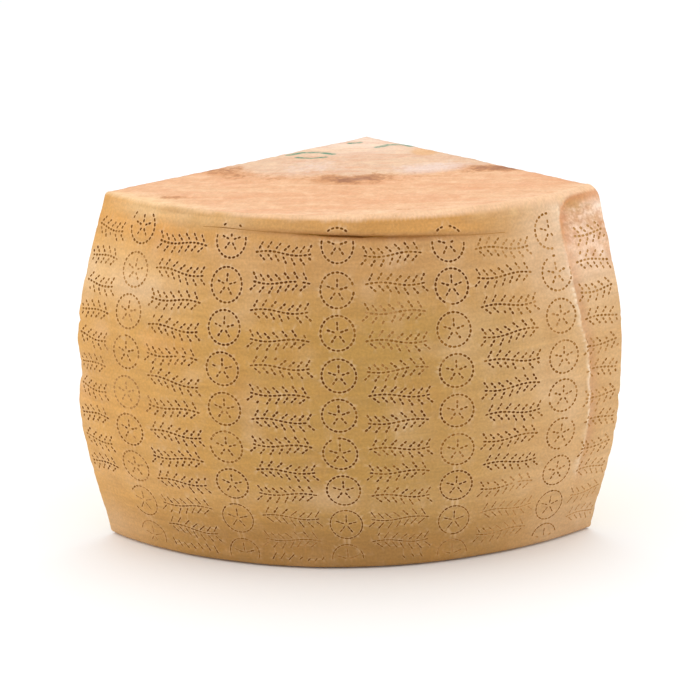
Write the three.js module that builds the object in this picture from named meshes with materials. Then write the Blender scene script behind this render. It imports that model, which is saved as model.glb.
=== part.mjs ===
// A quarter of a barrel-shaped wheel of hard cheese. It stands on its flat bottom. The rind faces -Y, and the
// upright edge where its two cuts meet is at the back, towards +Y. The origin is under the middle of its box.
import * as THREE from "three";

// Driving dimensions of the wheel, in millimetres
const HEIGHT = 210.5;
const BARREL_RADII = [197.3, 208.5, 217.4, 219.9, 218.2, 209.3, 197.5]; // at even steps from bottom to top
const LEAN = 12.7; // how far the top stands to +X of the bottom
const TOP_RISE = 0.0068; // rise of the top face for each millimetre towards +X
const HEEL_ROUND = 3;
const HEEL_FLARE = 2.4; // the foot of the rind spreads a little below the mould's band, most at the middle
const HEEL_FLARE_HEIGHT = 14;
const HEEL_FLARE_LEAST = 0.4; // its share at the two cuts
const RIM_ROUND_LEFT = 1.8;
const RIM_ROUND_RIGHT = 8;

// The two cuts, from the wheel's axis, with their angles from the middle of the rind
const CUT_MEET_X = 3.6;
const CUT_MEET_Y = -1.8;
const LEFT_CUT_DEGREES = 46.58;
const RIGHT_CUT_DEGREES = 46.72;

// The swollen lip under the rim and the crease below it, by angle from the middle of the rind
const LIP_PROUD = 1.3;
const LIP_SWELLS = [-1, 3]; // from below the crease to above it
const CREASE_HEIGHT = 199.3; // at the middle, falling towards the right
const CREASE_FALL = 0.14; // millimetres for each degree
const CREASE_DEPTH = 2.4;
const CREASE_HALF_WIDTH = 2.2;
const CREASE_MIDDLE_DEGREES = 4;
const CREASE_HALF_DEGREES = 27;

// The hollow under the rim at the right, which runs on down the rind as a shallow step
const SCOOP_DEPTH = 5.5;
const SCOOP_LEFT_DEGREES = 36.8;
const SCOOP_TOP = 1.5; // below the top face
const SCOOP_CORNER = 13;
const SCOOP_WALL = 5;
const SCOOP_REACH = 33;
const STEP_DEPTH = 1.6;
const STEP_WALL = 2.2;
const STEP_DRIFT_DEGREES = 4; // how far the step moves to the right on its way down
const STEP_DRIFT_HEIGHTS = [200, 80];
const STEP_FADE_HEIGHTS = [30, 75];
const STEP_END_BELOW_TOP = [30, 12];

// The dent in the rind where it meets the left cut
const DENT_DEPTH = 2.8;
const DENT_HEIGHT = 108;
const DENT_HALF_HEIGHT = 18;
const DENT_REACH_DEGREES = 6;

// The slight unevenness of the rind and of the flat top: how high, how wide and which random pattern
const RIND_WAVES = [[0.3, 46, 1], [0.15, 21, 2]];
const TOP_WAVES = [[0.4, 60, 3], [0.2, 24, 4]];
const TOP_WAVES_BELOW = 30; // they fade out over this height below the top
const MM_PER_DEGREE = 3.7; // along the rind

// The broken paste on the two cuts: broad lumps, and bowls with crisp ridges between them
const CRAG_DEPTH = 7.5;
const CRAG_LUMP = 44;
const CRAG_LUMP_SHARE = 0.35;
const CRAG_BOWL = 24;
const CRAG_BEND = 4; // how far the ridges wander
const CRAG_BEND_LENGTH = 12;
const CRAG_MIDDLE = 0.3; // this share of the depth lies outside the plane of the cut
const CRAG_FADE = 7; // from each edge of the cut
const BOWL_SHALLOW = 0.4; // the depth of the shallowest bowl's lowest point, as a share of the deepest
const BOWL_STEEPNESS = 1.15;
const CORNER_SLOPE = 0.85; // near the upright edge no point lies deeper than this share of its way from it
const LEFT_PATTERN = 11;
const RIGHT_PATTERN = 21;
const NEIGHBOURS = [-1, 0, 1];

// The repeatable random numbers: far apart steps of a sine, stretched until only its last digits count
const SINE_STEPS = [127.1, 311.7, 74.7];
const SINE_STRETCH = 43758.5453;

const RADIANS = Math.PI / 180;

// 0 below one end of a range and 1 past the other, with a smooth change between
function ease(from, to, value) {
  return THREE.MathUtils.smoothstep((value - from) / (to - from), 0, 1);
}

// 1 at the middle of a span and 0 past its ends
function swell(middle, half, value) {
  const away = Math.min(Math.abs(value - middle) / half, 1);
  return (1 - away * away) ** 2;
}

// A smooth curve through values that are given at even steps, at a share from 0 to 1 of its length
function curveThrough(values, share) {
  const last = values.length - 1;
  const start = Math.min(Math.floor(share * last), last - 1);
  const part = share * last - start;
  const b = values[start];
  const c = values[start + 1];
  const a = start > 0 ? values[start - 1] : 2 * b - c;
  const d = start + 2 <= last ? values[start + 2] : 2 * c - b;
  const slopeB = (c - a) / 2;
  const slopeC = (d - b) / 2;
  const bend = 3 * (c - b) - 2 * slopeB - slopeC;
  const twist = slopeB + slopeC - 2 * (c - b);
  return b + part * (slopeB + part * (bend + part * twist));
}

// A repeatable random number from 0 to 1 for each crossing of a lattice
function chance(column, row, seed) {
  const [columnStep, rowStep, seedStep] = SINE_STEPS;
  const wave = Math.sin(column * columnStep + row * rowStep + seed * seedStep) * SINE_STRETCH;
  return wave - Math.floor(wave);
}

// Smooth random relief between -1 and 1, with lumps of the given size
function lumps(across, up, size, seed) {
  const column = Math.floor(across / size);
  const row = Math.floor(up / size);
  const right = ease(0, 1, across / size - column);
  const above = ease(0, 1, up / size - row);
  const low = THREE.MathUtils.lerp(chance(column, row, seed), chance(column + 1, row, seed), right);
  const high = THREE.MathUtils.lerp(chance(column, row + 1, seed), chance(column + 1, row + 1, seed), right);
  return 2 * THREE.MathUtils.lerp(low, high, above) - 1;
}

// The sum of several random reliefs
function waves(across, up, kinds) {
  return kinds.reduce((sum, [high, size, seed]) => sum + high * lumps(across, up, size, seed), 0);
}

function wheelCentreX(height) {
  return LEAN * (height / HEIGHT - 0.5);
}

function topHeight(x) {
  return HEIGHT + TOP_RISE * x;
}

function creaseHeight(degrees) {
  return CREASE_HEIGHT - CREASE_FALL * degrees;
}

// The lip stands proud above the crease, and the crease is a groove with a steep upper side
function lipAndCrease(degrees, height) {
  const crease = creaseHeight(degrees);
  const strength = swell(CREASE_MIDDLE_DEGREES, CREASE_HALF_DEGREES, degrees);
  const lip = LIP_PROUD * strength * ease(...LIP_SWELLS, height - crease);
  const groove = CREASE_DEPTH * strength * swell(crease, CREASE_HALF_WIDTH, height);
  return lip - groove;
}

// The hollow is deepest along its left and upper walls and runs out towards the right and below
function scoop(degrees, height, radius) {
  const right = (degrees - SCOOP_LEFT_DEGREES) * RADIANS * radius;
  const below = HEIGHT - SCOOP_TOP - height;
  const inCorner = right < SCOOP_CORNER && below < SCOOP_CORNER;
  const round = SCOOP_CORNER - Math.hypot(SCOOP_CORNER - right, SCOOP_CORNER - below);
  const inside = inCorner ? round : Math.min(right, below);
  const reach = Math.hypot(Math.max(right, 0), Math.max(below, 0));
  return -SCOOP_DEPTH * ease(0, SCOOP_WALL, inside) * (1 - ease(SCOOP_WALL, SCOOP_REACH, reach));
}

// Right of the step the rind lies a little lower, up to the cut edge, where both levels meet again
function step(degrees, height, radius) {
  const [upper, lower] = STEP_DRIFT_HEIGHTS;
  const place = SCOOP_LEFT_DEGREES + STEP_DRIFT_DEGREES * ease(0, 1, (upper - height) / (upper - lower));
  const right = (degrees - place) * RADIANS * radius;
  const left = THREE.MathUtils.clamp((RIGHT_CUT_DEGREES - degrees) / (RIGHT_CUT_DEGREES - place), 0, 1);
  const [fadeFrom, fadeTo] = STEP_END_BELOW_TOP;
  const along = ease(...STEP_FADE_HEIGHTS, height) * (1 - ease(HEIGHT - fadeFrom, HEIGHT - fadeTo, height));
  return -STEP_DEPTH * ease(0, STEP_WALL, right) * left * along;
}

function dent(degrees, height) {
  const inward = (degrees + LEFT_CUT_DEGREES) / DENT_REACH_DEGREES;
  return -DENT_DEPTH * swell(DENT_HEIGHT, DENT_HALF_HEIGHT, height) * (1 - ease(0, 1, inward));
}

// How far the rind stands out from the smooth barrel
function rindRelief(degrees, height) {
  const radius = curveThrough(BARREL_RADII, height / HEIGHT);
  const worn = scoop(degrees, height, radius) + step(degrees, height, radius) + dent(degrees, height);
  const spread = THREE.MathUtils.lerp(HEEL_FLARE_LEAST, 1, swell(0, RIGHT_CUT_DEGREES, degrees));
  const flare = HEEL_FLARE * spread * (1 - ease(0, HEEL_FLARE_HEIGHT, height));
  return lipAndCrease(degrees, height) + worn + flare + waves(degrees * MM_PER_DEGREE, height, RIND_WAVES);
}

// Depth from 0 on a ridge to 1. Each square of a lattice holds the lowest point of a bowl, at a random place
// and depth. The bowl rises from it with the square of the distance, and the deepest bowl near by counts.
function bowls(across, up, size, seed) {
  let deepest = 0;
  for (const beside of NEIGHBOURS) {
    for (const above of NEIGHBOURS) {
      const column = Math.floor(across / size) + beside;
      const row = Math.floor(up / size) + above;
      const awayAcross = across / size - column - chance(column, row, seed);
      const awayUp = up / size - row - chance(column, row, seed + 1);
      const lowest = THREE.MathUtils.lerp(BOWL_SHALLOW, 1, chance(column, row, seed + 2));
      deepest = Math.max(deepest, lowest - BOWL_STEEPNESS * (awayAcross ** 2 + awayUp ** 2));
    }
  }
  return deepest;
}

// How far the broken paste lies behind the plane of the cut, or less than 0 where it stands out
function cragDepth(along, height, toEdge, seed) {
  const broad = (1 + lumps(along, height, CRAG_LUMP, seed)) / 2;
  const bentAlong = along + CRAG_BEND * lumps(along, height, CRAG_BEND_LENGTH, seed + 1);
  const bentHeight = height + CRAG_BEND * lumps(along, height, CRAG_BEND_LENGTH, seed + 2);
  const bowl = bowls(bentAlong, bentHeight, CRAG_BOWL, seed + 3);
  const share = THREE.MathUtils.lerp(bowl, broad, CRAG_LUMP_SHARE) - CRAG_MIDDLE;
  return Math.min(CRAG_DEPTH * share * ease(0, CRAG_FADE, toEdge), CORNER_SLOPE * along);
}

// The grid that covers the skin: columns across the rind, rings from the cut corner out to the rind, and
// rows from the bottom up
const COLUMNS_WIDE = 32;
const COLUMNS_FINE = 12;
const FINE_FROM_DEGREES = 35.5;
const COLUMNS = COLUMNS_WIDE + COLUMNS_FINE;
const RINGS = 28;
const ROWS_HEEL = 3;
const ROWS_BARREL = 23;
const ROWS_LIP_SPANS = [4, 2, 2, 2, 2]; // up to the crease, through it and on to the rounded rim
const ROWS_LIP = ROWS_LIP_SPANS.reduce((sum, rows) => sum + rows);
const ROWS_RIM = 4;
const ROWS = ROWS_HEEL + ROWS_BARREL + ROWS_LIP + ROWS_RIM;
const LIP_FROM_HEIGHT = 184;
const CREASE_ROWS_END = 1.4; // the last row of the crease lies this many half widths above its middle
const CREASE_ROOM = 1.6; // and the crease's middle lies at least this many below the rounded rim

// The angle of a column of the grid, in degrees from the middle of the rind
function columnDegrees(column) {
  if (column <= COLUMNS_WIDE) {
    return THREE.MathUtils.lerp(-LEFT_CUT_DEGREES, FINE_FROM_DEGREES, column / COLUMNS_WIDE);
  }
  const share = (column - COLUMNS_WIDE) / COLUMNS_FINE;
  return THREE.MathUtils.lerp(FINE_FROM_DEGREES, RIGHT_CUT_DEGREES, share);
}

// The height of one of the rows between the barrel and the rim, which follow the crease
function lipRowHeight(lipRow, degrees, rimStart) {
  const crease = Math.min(creaseHeight(degrees), rimStart - CREASE_ROOM * CREASE_HALF_WIDTH);
  const half = CREASE_HALF_WIDTH;
  const creaseEnd = crease + CREASE_ROWS_END * half;
  const marks = [LIP_FROM_HEIGHT, crease - half, crease, crease + half, creaseEnd, rimStart];
  let left = lipRow;
  let span = 0;
  while (span < ROWS_LIP_SPANS.length - 1 && left > ROWS_LIP_SPANS[span]) {
    left -= ROWS_LIP_SPANS[span];
    span += 1;
  }
  return THREE.MathUtils.lerp(marks[span], marks[span + 1], left / ROWS_LIP_SPANS[span]);
}

// The height of a row of the rind and how far its rounded edges draw it in
function rowProfile(row, degrees, rimRound, top) {
  if (row <= ROWS_HEEL) {
    const turn = (row / ROWS_HEEL) * 90 * RADIANS;
    return { height: HEEL_ROUND * (1 - Math.cos(turn)), inset: HEEL_ROUND * (1 - Math.sin(turn)) };
  }
  const lipRow = ROWS_HEEL + ROWS_BARREL;
  const rimRow = lipRow + ROWS_LIP;
  if (row <= lipRow) {
    const share = (row - ROWS_HEEL) / ROWS_BARREL;
    return { height: THREE.MathUtils.lerp(HEEL_ROUND, LIP_FROM_HEIGHT, share), inset: 0 };
  }
  if (row <= rimRow) {
    return { height: lipRowHeight(row - lipRow, degrees, top - rimRound), inset: 0 };
  }
  const turn = ((row - rimRow) / ROWS_RIM) * 90 * RADIANS;
  return { height: top - rimRound * (1 - Math.sin(turn)), inset: rimRound * (1 - Math.cos(turn)) };
}

// Where a ray from the cut corner meets the circle of the wheel at a height
function rayLength(angle, height, radius) {
  const fromX = CUT_MEET_X - wheelCentreX(height);
  const along = fromX * Math.cos(angle) + CUT_MEET_Y * Math.sin(angle);
  return -along + Math.sqrt(along ** 2 - fromX ** 2 - CUT_MEET_Y ** 2 + radius ** 2);
}

// A point of the rind: its distance from the cut corner and its height
function rindPoint(column, row) {
  const angle = (columnDegrees(column) - 90) * RADIANS;
  const acrossShare = column / COLUMNS;
  const rimRound = THREE.MathUtils.lerp(RIM_ROUND_LEFT, RIM_ROUND_RIGHT, acrossShare ** 2);
  const rimX = CUT_MEET_X + BARREL_RADII.at(-1) * Math.cos(angle);
  const { height, inset } = rowProfile(row, columnDegrees(column), rimRound, topHeight(rimX));
  const barrel = curveThrough(BARREL_RADII, Math.min(height / HEIGHT, 1));
  const smooth = rayLength(angle, height, barrel - inset);
  const x = CUT_MEET_X + smooth * Math.cos(angle) - wheelCentreX(height);
  const y = CUT_MEET_Y + smooth * Math.sin(angle);
  const degrees = Math.atan2(x, -y) / RADIANS;
  return { angle, height, distance: rayLength(angle, height, barrel - inset + rindRelief(degrees, height)) };
}

// Any point of the skin, by its column, ring and row
function skinPoint(column, ring, row) {
  const rind = rindPoint(column, row);
  const meanRim = (RIM_ROUND_LEFT + RIM_ROUND_RIGHT) / 2;
  const cornerHeight = rowProfile(row, 0, meanRim, topHeight(CUT_MEET_X)).height;
  const share = ring / RINGS;
  const along = share * rind.distance;
  const height = THREE.MathUtils.lerp(cornerHeight, rind.height, share);
  const point = new THREE.Vector3(
    CUT_MEET_X + along * Math.cos(rind.angle),
    CUT_MEET_Y + along * Math.sin(rind.angle),
    height,
  );
  const onCut = column === 0 || column === COLUMNS;
  if (onCut) {
    const toEdge = Math.min(along, rind.distance - along, height, HEIGHT - height);
    const depth = cragDepth(along, height, toEdge, column === 0 ? LEFT_PATTERN : RIGHT_PATTERN);
    const side = column === 0 ? 1 : -1;
    point.x -= depth * side * Math.sin(rind.angle);
    point.y += depth * side * Math.cos(rind.angle);
  }
  point.z += waves(point.x, point.y, TOP_WAVES) * ease(HEIGHT - TOP_WAVES_BELOW, HEIGHT, height);
  return point;
}

// The whole skin as one closed surface, with each crossing of the grid made once
function quarterWheelGeometry() {
  const positions = [];
  const triangles = [];
  const made = new Map();

  function corner(column, ring, row) {
    const key = ring === 0 ? `corner ${row}` : `${column} ${ring} ${row}`;
    if (!made.has(key)) {
      made.set(key, positions.length / 3);
      positions.push(...skinPoint(column, ring, row).toArray());
    }
    return made.get(key);
  }

  function quad(a, b, c, d) {
    triangles.push(a, b, c, a, c, d);
  }

  for (let column = 0; column < COLUMNS; column++) {
    const next = column + 1;
    for (let row = 0; row < ROWS; row++) {
      const low = [corner(column, RINGS, row), corner(next, RINGS, row)];
      const high = [corner(next, RINGS, row + 1), corner(column, RINGS, row + 1)];
      quad(...low, ...high);
    }
    triangles.push(corner(0, 0, ROWS), corner(column, 1, ROWS), corner(next, 1, ROWS));
    for (let ring = 1; ring < RINGS; ring++) {
      const near = [corner(column, ring, ROWS), corner(column, ring + 1, ROWS)];
      quad(...near, corner(next, ring + 1, ROWS), corner(next, ring, ROWS));
    }
  }
  for (let ring = 0; ring < RINGS; ring++) {
    for (let row = 0; row < ROWS; row++) {
      const left = [corner(0, ring, row), corner(0, ring + 1, row)];
      quad(...left, corner(0, ring + 1, row + 1), corner(0, ring, row + 1));
      const right = [corner(COLUMNS, ring, row), corner(COLUMNS, ring, row + 1)];
      quad(...right, corner(COLUMNS, ring + 1, row + 1), corner(COLUMNS, ring + 1, row));
    }
  }

  // The bottom is flat: strips across from cut to cut, then the piece between the last strip and the heel
  triangles.push(corner(0, 0, 0), corner(COLUMNS, 1, 0), corner(0, 1, 0));
  for (let ring = 1; ring < RINGS; ring++) {
    const near = [corner(0, ring, 0), corner(COLUMNS, ring, 0)];
    quad(...near, corner(COLUMNS, ring + 1, 0), corner(0, ring + 1, 0));
  }
  for (let column = 1; column < COLUMNS; column++) {
    triangles.push(corner(0, RINGS, 0), corner(column + 1, RINGS, 0), corner(column, RINGS, 0));
  }

  const geometry = new THREE.BufferGeometry();
  geometry.setAttribute("position", new THREE.Float32BufferAttribute(positions, 3));
  geometry.setIndex(triangles);
  geometry.computeBoundingBox();
  const middle = geometry.boundingBox.getCenter(new THREE.Vector3());
  geometry.translate(-middle.x, -middle.y, 0);
  geometry.computeVertexNormals();
  return geometry;
}

const agedRind = new THREE.MeshStandardMaterial({ color: 0xcb9c5f, roughness: 0.62, metalness: 0 });
const quarterWheel = new THREE.Mesh(quarterWheelGeometry(), agedRind);
quarterWheel.name = "cheese_quarter";

const part = new THREE.Group();
part.add(quarterWheel);

export default part;
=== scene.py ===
# %% [markdown]
# A quarter of a barrel-shaped wheel of hard cheese stands on a pale floor and is seen from its rind side.
# On the real thing the rind, the flat top and the two cuts are one block, so here they are one closed
# mesh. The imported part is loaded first, because it says where everything is and how large it may be.

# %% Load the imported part
import math

import bpy
import numpy as np
from mathutils import Matrix, Vector
from mathutils.geometry import delaunay_2d_cdt


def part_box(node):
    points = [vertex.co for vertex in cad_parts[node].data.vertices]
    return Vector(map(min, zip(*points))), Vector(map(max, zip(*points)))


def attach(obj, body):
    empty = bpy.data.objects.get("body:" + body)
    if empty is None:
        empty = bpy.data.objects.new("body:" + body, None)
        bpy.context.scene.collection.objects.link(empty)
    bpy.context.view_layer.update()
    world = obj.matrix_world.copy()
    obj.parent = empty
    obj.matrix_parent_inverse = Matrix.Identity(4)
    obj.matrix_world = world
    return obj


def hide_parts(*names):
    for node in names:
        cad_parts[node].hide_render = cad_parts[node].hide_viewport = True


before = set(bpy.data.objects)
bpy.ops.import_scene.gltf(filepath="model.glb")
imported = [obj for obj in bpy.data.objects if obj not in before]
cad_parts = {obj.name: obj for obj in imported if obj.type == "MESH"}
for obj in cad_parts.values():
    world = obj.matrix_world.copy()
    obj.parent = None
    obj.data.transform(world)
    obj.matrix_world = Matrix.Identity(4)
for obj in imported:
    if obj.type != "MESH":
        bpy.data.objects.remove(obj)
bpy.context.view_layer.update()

NODE = "cheese_quarter"
MM = 0.001
node_low, node_high = (Vector(corner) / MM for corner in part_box(NODE))
print("the part is", [round(side, 1) for side in node_high - node_low], "mm")

# %% [markdown]
# The camera comes first. It stands about 1.8 m away, a little above the cheese, and looks down on it.
# A long lens keeps the barrel's sides from leaning. The three turns are taken one after another: to the
# side, down, and round the line of sight.

# %% Camera
CAMERA_PLACE = (0.16451, -1.65056, 0.61611)  # metres
CAMERA_SIDE_TURN = math.radians(-5.772)
CAMERA_DIP = math.radians(17.12)
CAMERA_ROLL = math.radians(1.879)
SENSOR_WIDTH = 36.0
LENS = 149.66

turn = (math.sin(CAMERA_SIDE_TURN), math.cos(CAMERA_SIDE_TURN))
dip = (math.sin(CAMERA_DIP), math.cos(CAMERA_DIP))
level_right = Vector((turn[1], -turn[0], 0.0))
level_up = Vector((turn[0] * dip[0], turn[1] * dip[0], dip[1]))
forward = Vector((turn[0] * dip[1], turn[1] * dip[1], -dip[0]))
right = math.cos(CAMERA_ROLL) * level_right - math.sin(CAMERA_ROLL) * level_up
up = math.sin(CAMERA_ROLL) * level_right + math.cos(CAMERA_ROLL) * level_up

camera_data = bpy.data.cameras.new("camera")
camera_data.sensor_width = SENSOR_WIDTH
camera_data.lens = LENS
camera = bpy.data.objects.new("camera", camera_data)
bpy.context.scene.collection.objects.link(camera)
camera.matrix_world = Matrix.Translation(CAMERA_PLACE) @ Matrix((right, up, -forward)).transposed().to_4x4()
bpy.context.scene.camera = camera
print("camera", round(Vector(CAMERA_PLACE).length, 3), "m from the foot of the cheese")

# %% [markdown]
# The wheel was pressed in a mould, so its side bulges like a barrel. These are the wheel's own sizes in
# millimetres, seen from its axis. Angles are counted from the middle of the rind towards +X.

# %% Sizes of the wheel
HEIGHT = 210.5
BARREL_RADII = np.array([197.3, 208.5, 217.4, 219.9, 218.2, 209.3, 197.5])  # from bottom to top
LEAN = 12.7
TOP_RISE = 0.0068
HEEL_ROUND = 3.0
HEEL_FLARE = 2.4
HEEL_FLARE_HEIGHT = 14.0
RIM_ROUND_LEFT = 1.8
RIM_ROUND_RIGHT = 8.0
CUT_MEET_X = 3.6
CUT_MEET_Y = -1.8
LEFT_CUT = -46.58
RIGHT_CUT = 46.72
MM_PER_DEGREE = 3.75  # along the rind, at its mean radius
LEFT_EDGE = LEFT_CUT * MM_PER_DEGREE
RIGHT_EDGE = RIGHT_CUT * MM_PER_DEGREE
RIM_SHARES = ((LEFT_CUT, 0.0), (35.5, 8 / 11), (RIGHT_CUT, 1.0))  # how the rim's rounding grows
QUARTER_TURN = math.pi / 2
FULL_TURN = 2 * math.pi
print("the wheel is", 2 * BARREL_RADII.max(), "mm across and", HEIGHT, "mm high")

# %% [markdown]
# Everything below is worked out for whole arrays of points at once. These functions are the tools: a
# soft step, a soft bump, a smooth curve through given values, and a soft random relief in a plane or
# along a line.

# %% Soft steps, bumps, curves and lumps
def ease(low, high, value):
    """0 below low and 1 above high; between them 3s^2 - 2s^3 of the share s that is covered."""
    share = np.clip((value - low) / (high - low), 0.0, 1.0)
    return share * share * (3.0 - 2.0 * share)


def swell(middle, half, value):
    """1 at the middle and 0 from half away on: (1 - d^2)^2 of the distance d, counted in halves."""
    away = np.minimum(np.abs(value - middle) / half, 1.0)
    return (1.0 - away**2) ** 2


def curve_through(values, share):
    """A cubic between each two values at even steps, whose slope at a value comes from its neighbours."""
    known = np.concatenate([[2 * values[0] - values[1]], values, [2 * values[-1] - values[-2]]])
    last = len(values) - 1
    start = np.clip(np.floor(share * last).astype(int), 0, last - 1)
    part = share * last - start
    a, b, c, d = (known[start + step] for step in range(4))
    slope_b = (c - a) / 2
    slope_c = (d - b) / 2
    bend = 3 * (c - b) - 2 * slope_b - slope_c
    twist = slope_b + slope_c - 2 * (c - b)
    return b + part * (slope_b + part * (bend + part * twist))


SINE_STEPS = (127.1, 311.7, 74.7)  # for each column, row and seed
SINE_STRETCH = 43758.5453


def chance(column, row, seed):
    """A repeatable random number from 0 to 1 for a crossing of a lattice: the fraction of a fast sine."""
    wave = np.sin(column * SINE_STEPS[0] + row * SINE_STEPS[1] + seed * SINE_STEPS[2]) * SINE_STRETCH
    return wave - np.floor(wave)


def lumps(across, rise, size, seed):
    """Relief from -1 to 1: random numbers on a square lattice, joined by soft steps both ways."""
    column = np.floor(across / size)
    row = np.floor(rise / size)
    beside = ease(0, 1, across / size - column)
    above = ease(0, 1, rise / size - row)
    low = chance(column, row, seed) * (1 - beside) + chance(column + 1, row, seed) * beside
    high = chance(column, row + 1, seed) * (1 - beside) + chance(column + 1, row + 1, seed) * beside
    return 2 * (low * (1 - above) + high * above) - 1


def lumps_along(line, size, seed):
    """The same relief along a line."""
    return lumps(line, 0 * line, size, seed)


def waves(across, rise, kinds):
    """The sum of several reliefs, each with its height, its size and its seed."""
    return sum(high * lumps(across, rise, size, seed) for high, size, seed in kinds)


print("a soft step at its middle gives", float(ease(0, 1, 0.5)))

# %% [markdown]
# The rind is not a plain barrel. A swollen lip hangs over a crease near the top, a hollow was pressed
# in at the upper right and runs down as a shallow step, and the left cut edge is dented. Each of these
# is one term, in millimetres outwards, and the rind is the barrel plus their sum. The crease comes
# first: it is widest in the middle and runs out to both sides.

# %% Crease and lip
LIP_PROUD = 1.3
LIP_SWELLS = (-1, 3)  # from below the crease to above it
CREASE_HEIGHT = 199.3
CREASE_FALL = 0.14
CREASE_DEPTH = 2.4
CREASE_HALF_WIDTH = 2.2
CREASE_MIDDLE = 4.0
CREASE_HALF = 27.0


def crease_height(degrees):
    """The crease falls evenly towards the right."""
    return CREASE_HEIGHT - CREASE_FALL * degrees


def crease_strength(degrees):
    """Full in the middle of the rind, running out to both sides."""
    return swell(CREASE_MIDDLE, CREASE_HALF, degrees)


print("the crease falls from", round(crease_height(LEFT_CUT)), "to", round(crease_height(RIGHT_CUT)), "mm")

# %% [markdown]
# The hollow has a steep wall at its left and its top, with a round corner between them. Below it a step
# goes on down the rind, and its upper edge stands up a little.

# %% Hollow and step
SCOOP_DEPTH = 5.5
SCOOP_LEFT = 36.8
SCOOP_TOP = 1.5
SCOOP_CORNER = 13.0
SCOOP_WALL = 3.8
SCOOP_REACH = 33.0
STEP_DEPTH = 1.6
STEP_WALL = 2.2
STEP_DRIFT = 4.0
STEP_DRIFT_FROM = 200  # the height where the drift starts, and the way down that it takes
STEP_DRIFT_OVER = 120
STEP_FADE_HEIGHTS = (30, 75)
STEP_END_BELOW_TOP = (30, 12)
RIDGE_PROUD = 0.6  # the step's upper edge stands up a little
RIDGE_PLACE = (-0.9, 3.0)  # its middle, beside the step, and its half width
SEAM_WAVES = ((1.0, 17, 53), (0.5, 6, 54))


def step_place(height):
    """The angle of the step, which drifts to the right on its way down."""
    return SCOOP_LEFT + STEP_DRIFT * ease(0, 1, (STEP_DRIFT_FROM - height) / STEP_DRIFT_OVER)


def seam_wander(height):
    """The edge of the step is not quite straight: it wavers by about a millimetre."""
    return waves(height, 0 * height, SEAM_WAVES)


def step_strength(height):
    """The step fades out near the foot and gives way to the hollow near the top."""
    fade_from, fade_to = (HEIGHT - below for below in STEP_END_BELOW_TOP)
    return ease(*STEP_FADE_HEIGHTS, height) * (1 - ease(fade_from, fade_to, height))


def scoop_places(degrees, height, radius):
    """How far beside its left edge and below its top edge, and how far inside both, with a round corner."""
    beside = np.radians(degrees - SCOOP_LEFT) * radius
    below = HEIGHT - SCOOP_TOP - height
    in_corner = (beside < SCOOP_CORNER) & (below < SCOOP_CORNER)
    rounded = SCOOP_CORNER - np.hypot(SCOOP_CORNER - beside, SCOOP_CORNER - below)
    return beside, below, np.where(in_corner, rounded, np.minimum(beside, below))


def scoop(degrees, height, radius):
    """A hollow with a steep wall at its left and top, which runs out with the distance from that corner."""
    beside, below, inside = scoop_places(degrees, height, radius)
    reach = np.hypot(np.maximum(beside, 0), np.maximum(below, 0))
    return -SCOOP_DEPTH * ease(0, SCOOP_WALL, inside) * (1 - ease(SCOOP_WALL, SCOOP_REACH, reach))


def step(degrees, height, radius):
    """Right of the step the rind lies lower, and comes back to its level at the cut."""
    place = step_place(height)
    beside = np.radians(degrees - place) * radius + seam_wander(height)
    left = np.clip((RIGHT_CUT - degrees) / (RIGHT_CUT - place), 0, 1)
    ridge = RIDGE_PROUD * swell(*RIDGE_PLACE, beside)
    return (ridge - STEP_DEPTH * ease(0, STEP_WALL, beside) * left) * step_strength(height)


trial = np.meshgrid(np.linspace(SCOOP_LEFT, RIGHT_CUT), np.linspace(HEIGHT / 2, HEIGHT))
print("deepest point of the hollow", round(float(scoop(*trial, BARREL_RADII[-1]).min()), 1), "mm")

# %% [markdown]
# The left cut edge took knocks: a broad dent, a nick above it and three short wrinkles below. Their
# heights are in millimetres, and their way inwards from the cut is in degrees.

# %% Wear at the left cut edge
DENT_DEPTH = 2.8
DENT_HEIGHT = 108.0
DENT_HALF_HEIGHT = 18.0
DENT_REACH = 6.0
NICK_DEPTH = 2.2
NICK_HEIGHT = 136.5
NICK_HALF_HEIGHT = 3.0
NICK_CLIMB = 0.8  # millimetres for each degree inwards
NICK_REACH = 1.6
WRINKLE_HEIGHTS = (84.0, 89.0, 95.0)
WRINKLE_DEPTH = 0.5
WRINKLE_HALF_HEIGHT = 1.6
WRINKLE_FALL = 0.9
WRINKLE_PLACE = (5.0, 3.4)  # the middle and half the length, inwards from the cut


def left_edge_wear(degrees, height):
    """The broad dent, the small nick above it and three short wrinkles below, all at the left cut."""
    inward = degrees - LEFT_CUT
    dent = DENT_DEPTH * swell(DENT_HEIGHT, DENT_HALF_HEIGHT, height) * (1 - ease(0, DENT_REACH, inward))
    at_nick = swell(NICK_HEIGHT, NICK_HALF_HEIGHT, height - NICK_CLIMB * inward)
    nick = NICK_DEPTH * at_nick * (1 - ease(0, NICK_REACH, inward))
    fallen = height + WRINKLE_FALL * inward
    wrinkles = sum(swell(place, WRINKLE_HALF_HEIGHT, fallen) for place in WRINKLE_HEIGHTS)
    return -dent - nick - WRINKLE_DEPTH * wrinkles * swell(*WRINKLE_PLACE, inward)


print("the dent is", round(-float(left_edge_wear(LEFT_CUT, DENT_HEIGHT)), 1), "mm deep")

# %% [markdown]
# Now all terms are added up, with the foot that spreads a little under its own weight and with the
# slight unevenness of a pressed and aged rind.

# %% Relief of the rind
FLARE_LEAST = 0.4  # the share of the foot's flare at the two cuts
WAVE_MM_PER_DEGREE = 3.7
RIND_WAVES = ((0.3, 46, 1), (0.15, 21, 2))
SKIN_WAVES = ((0.12, 9.5, 5),)


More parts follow.
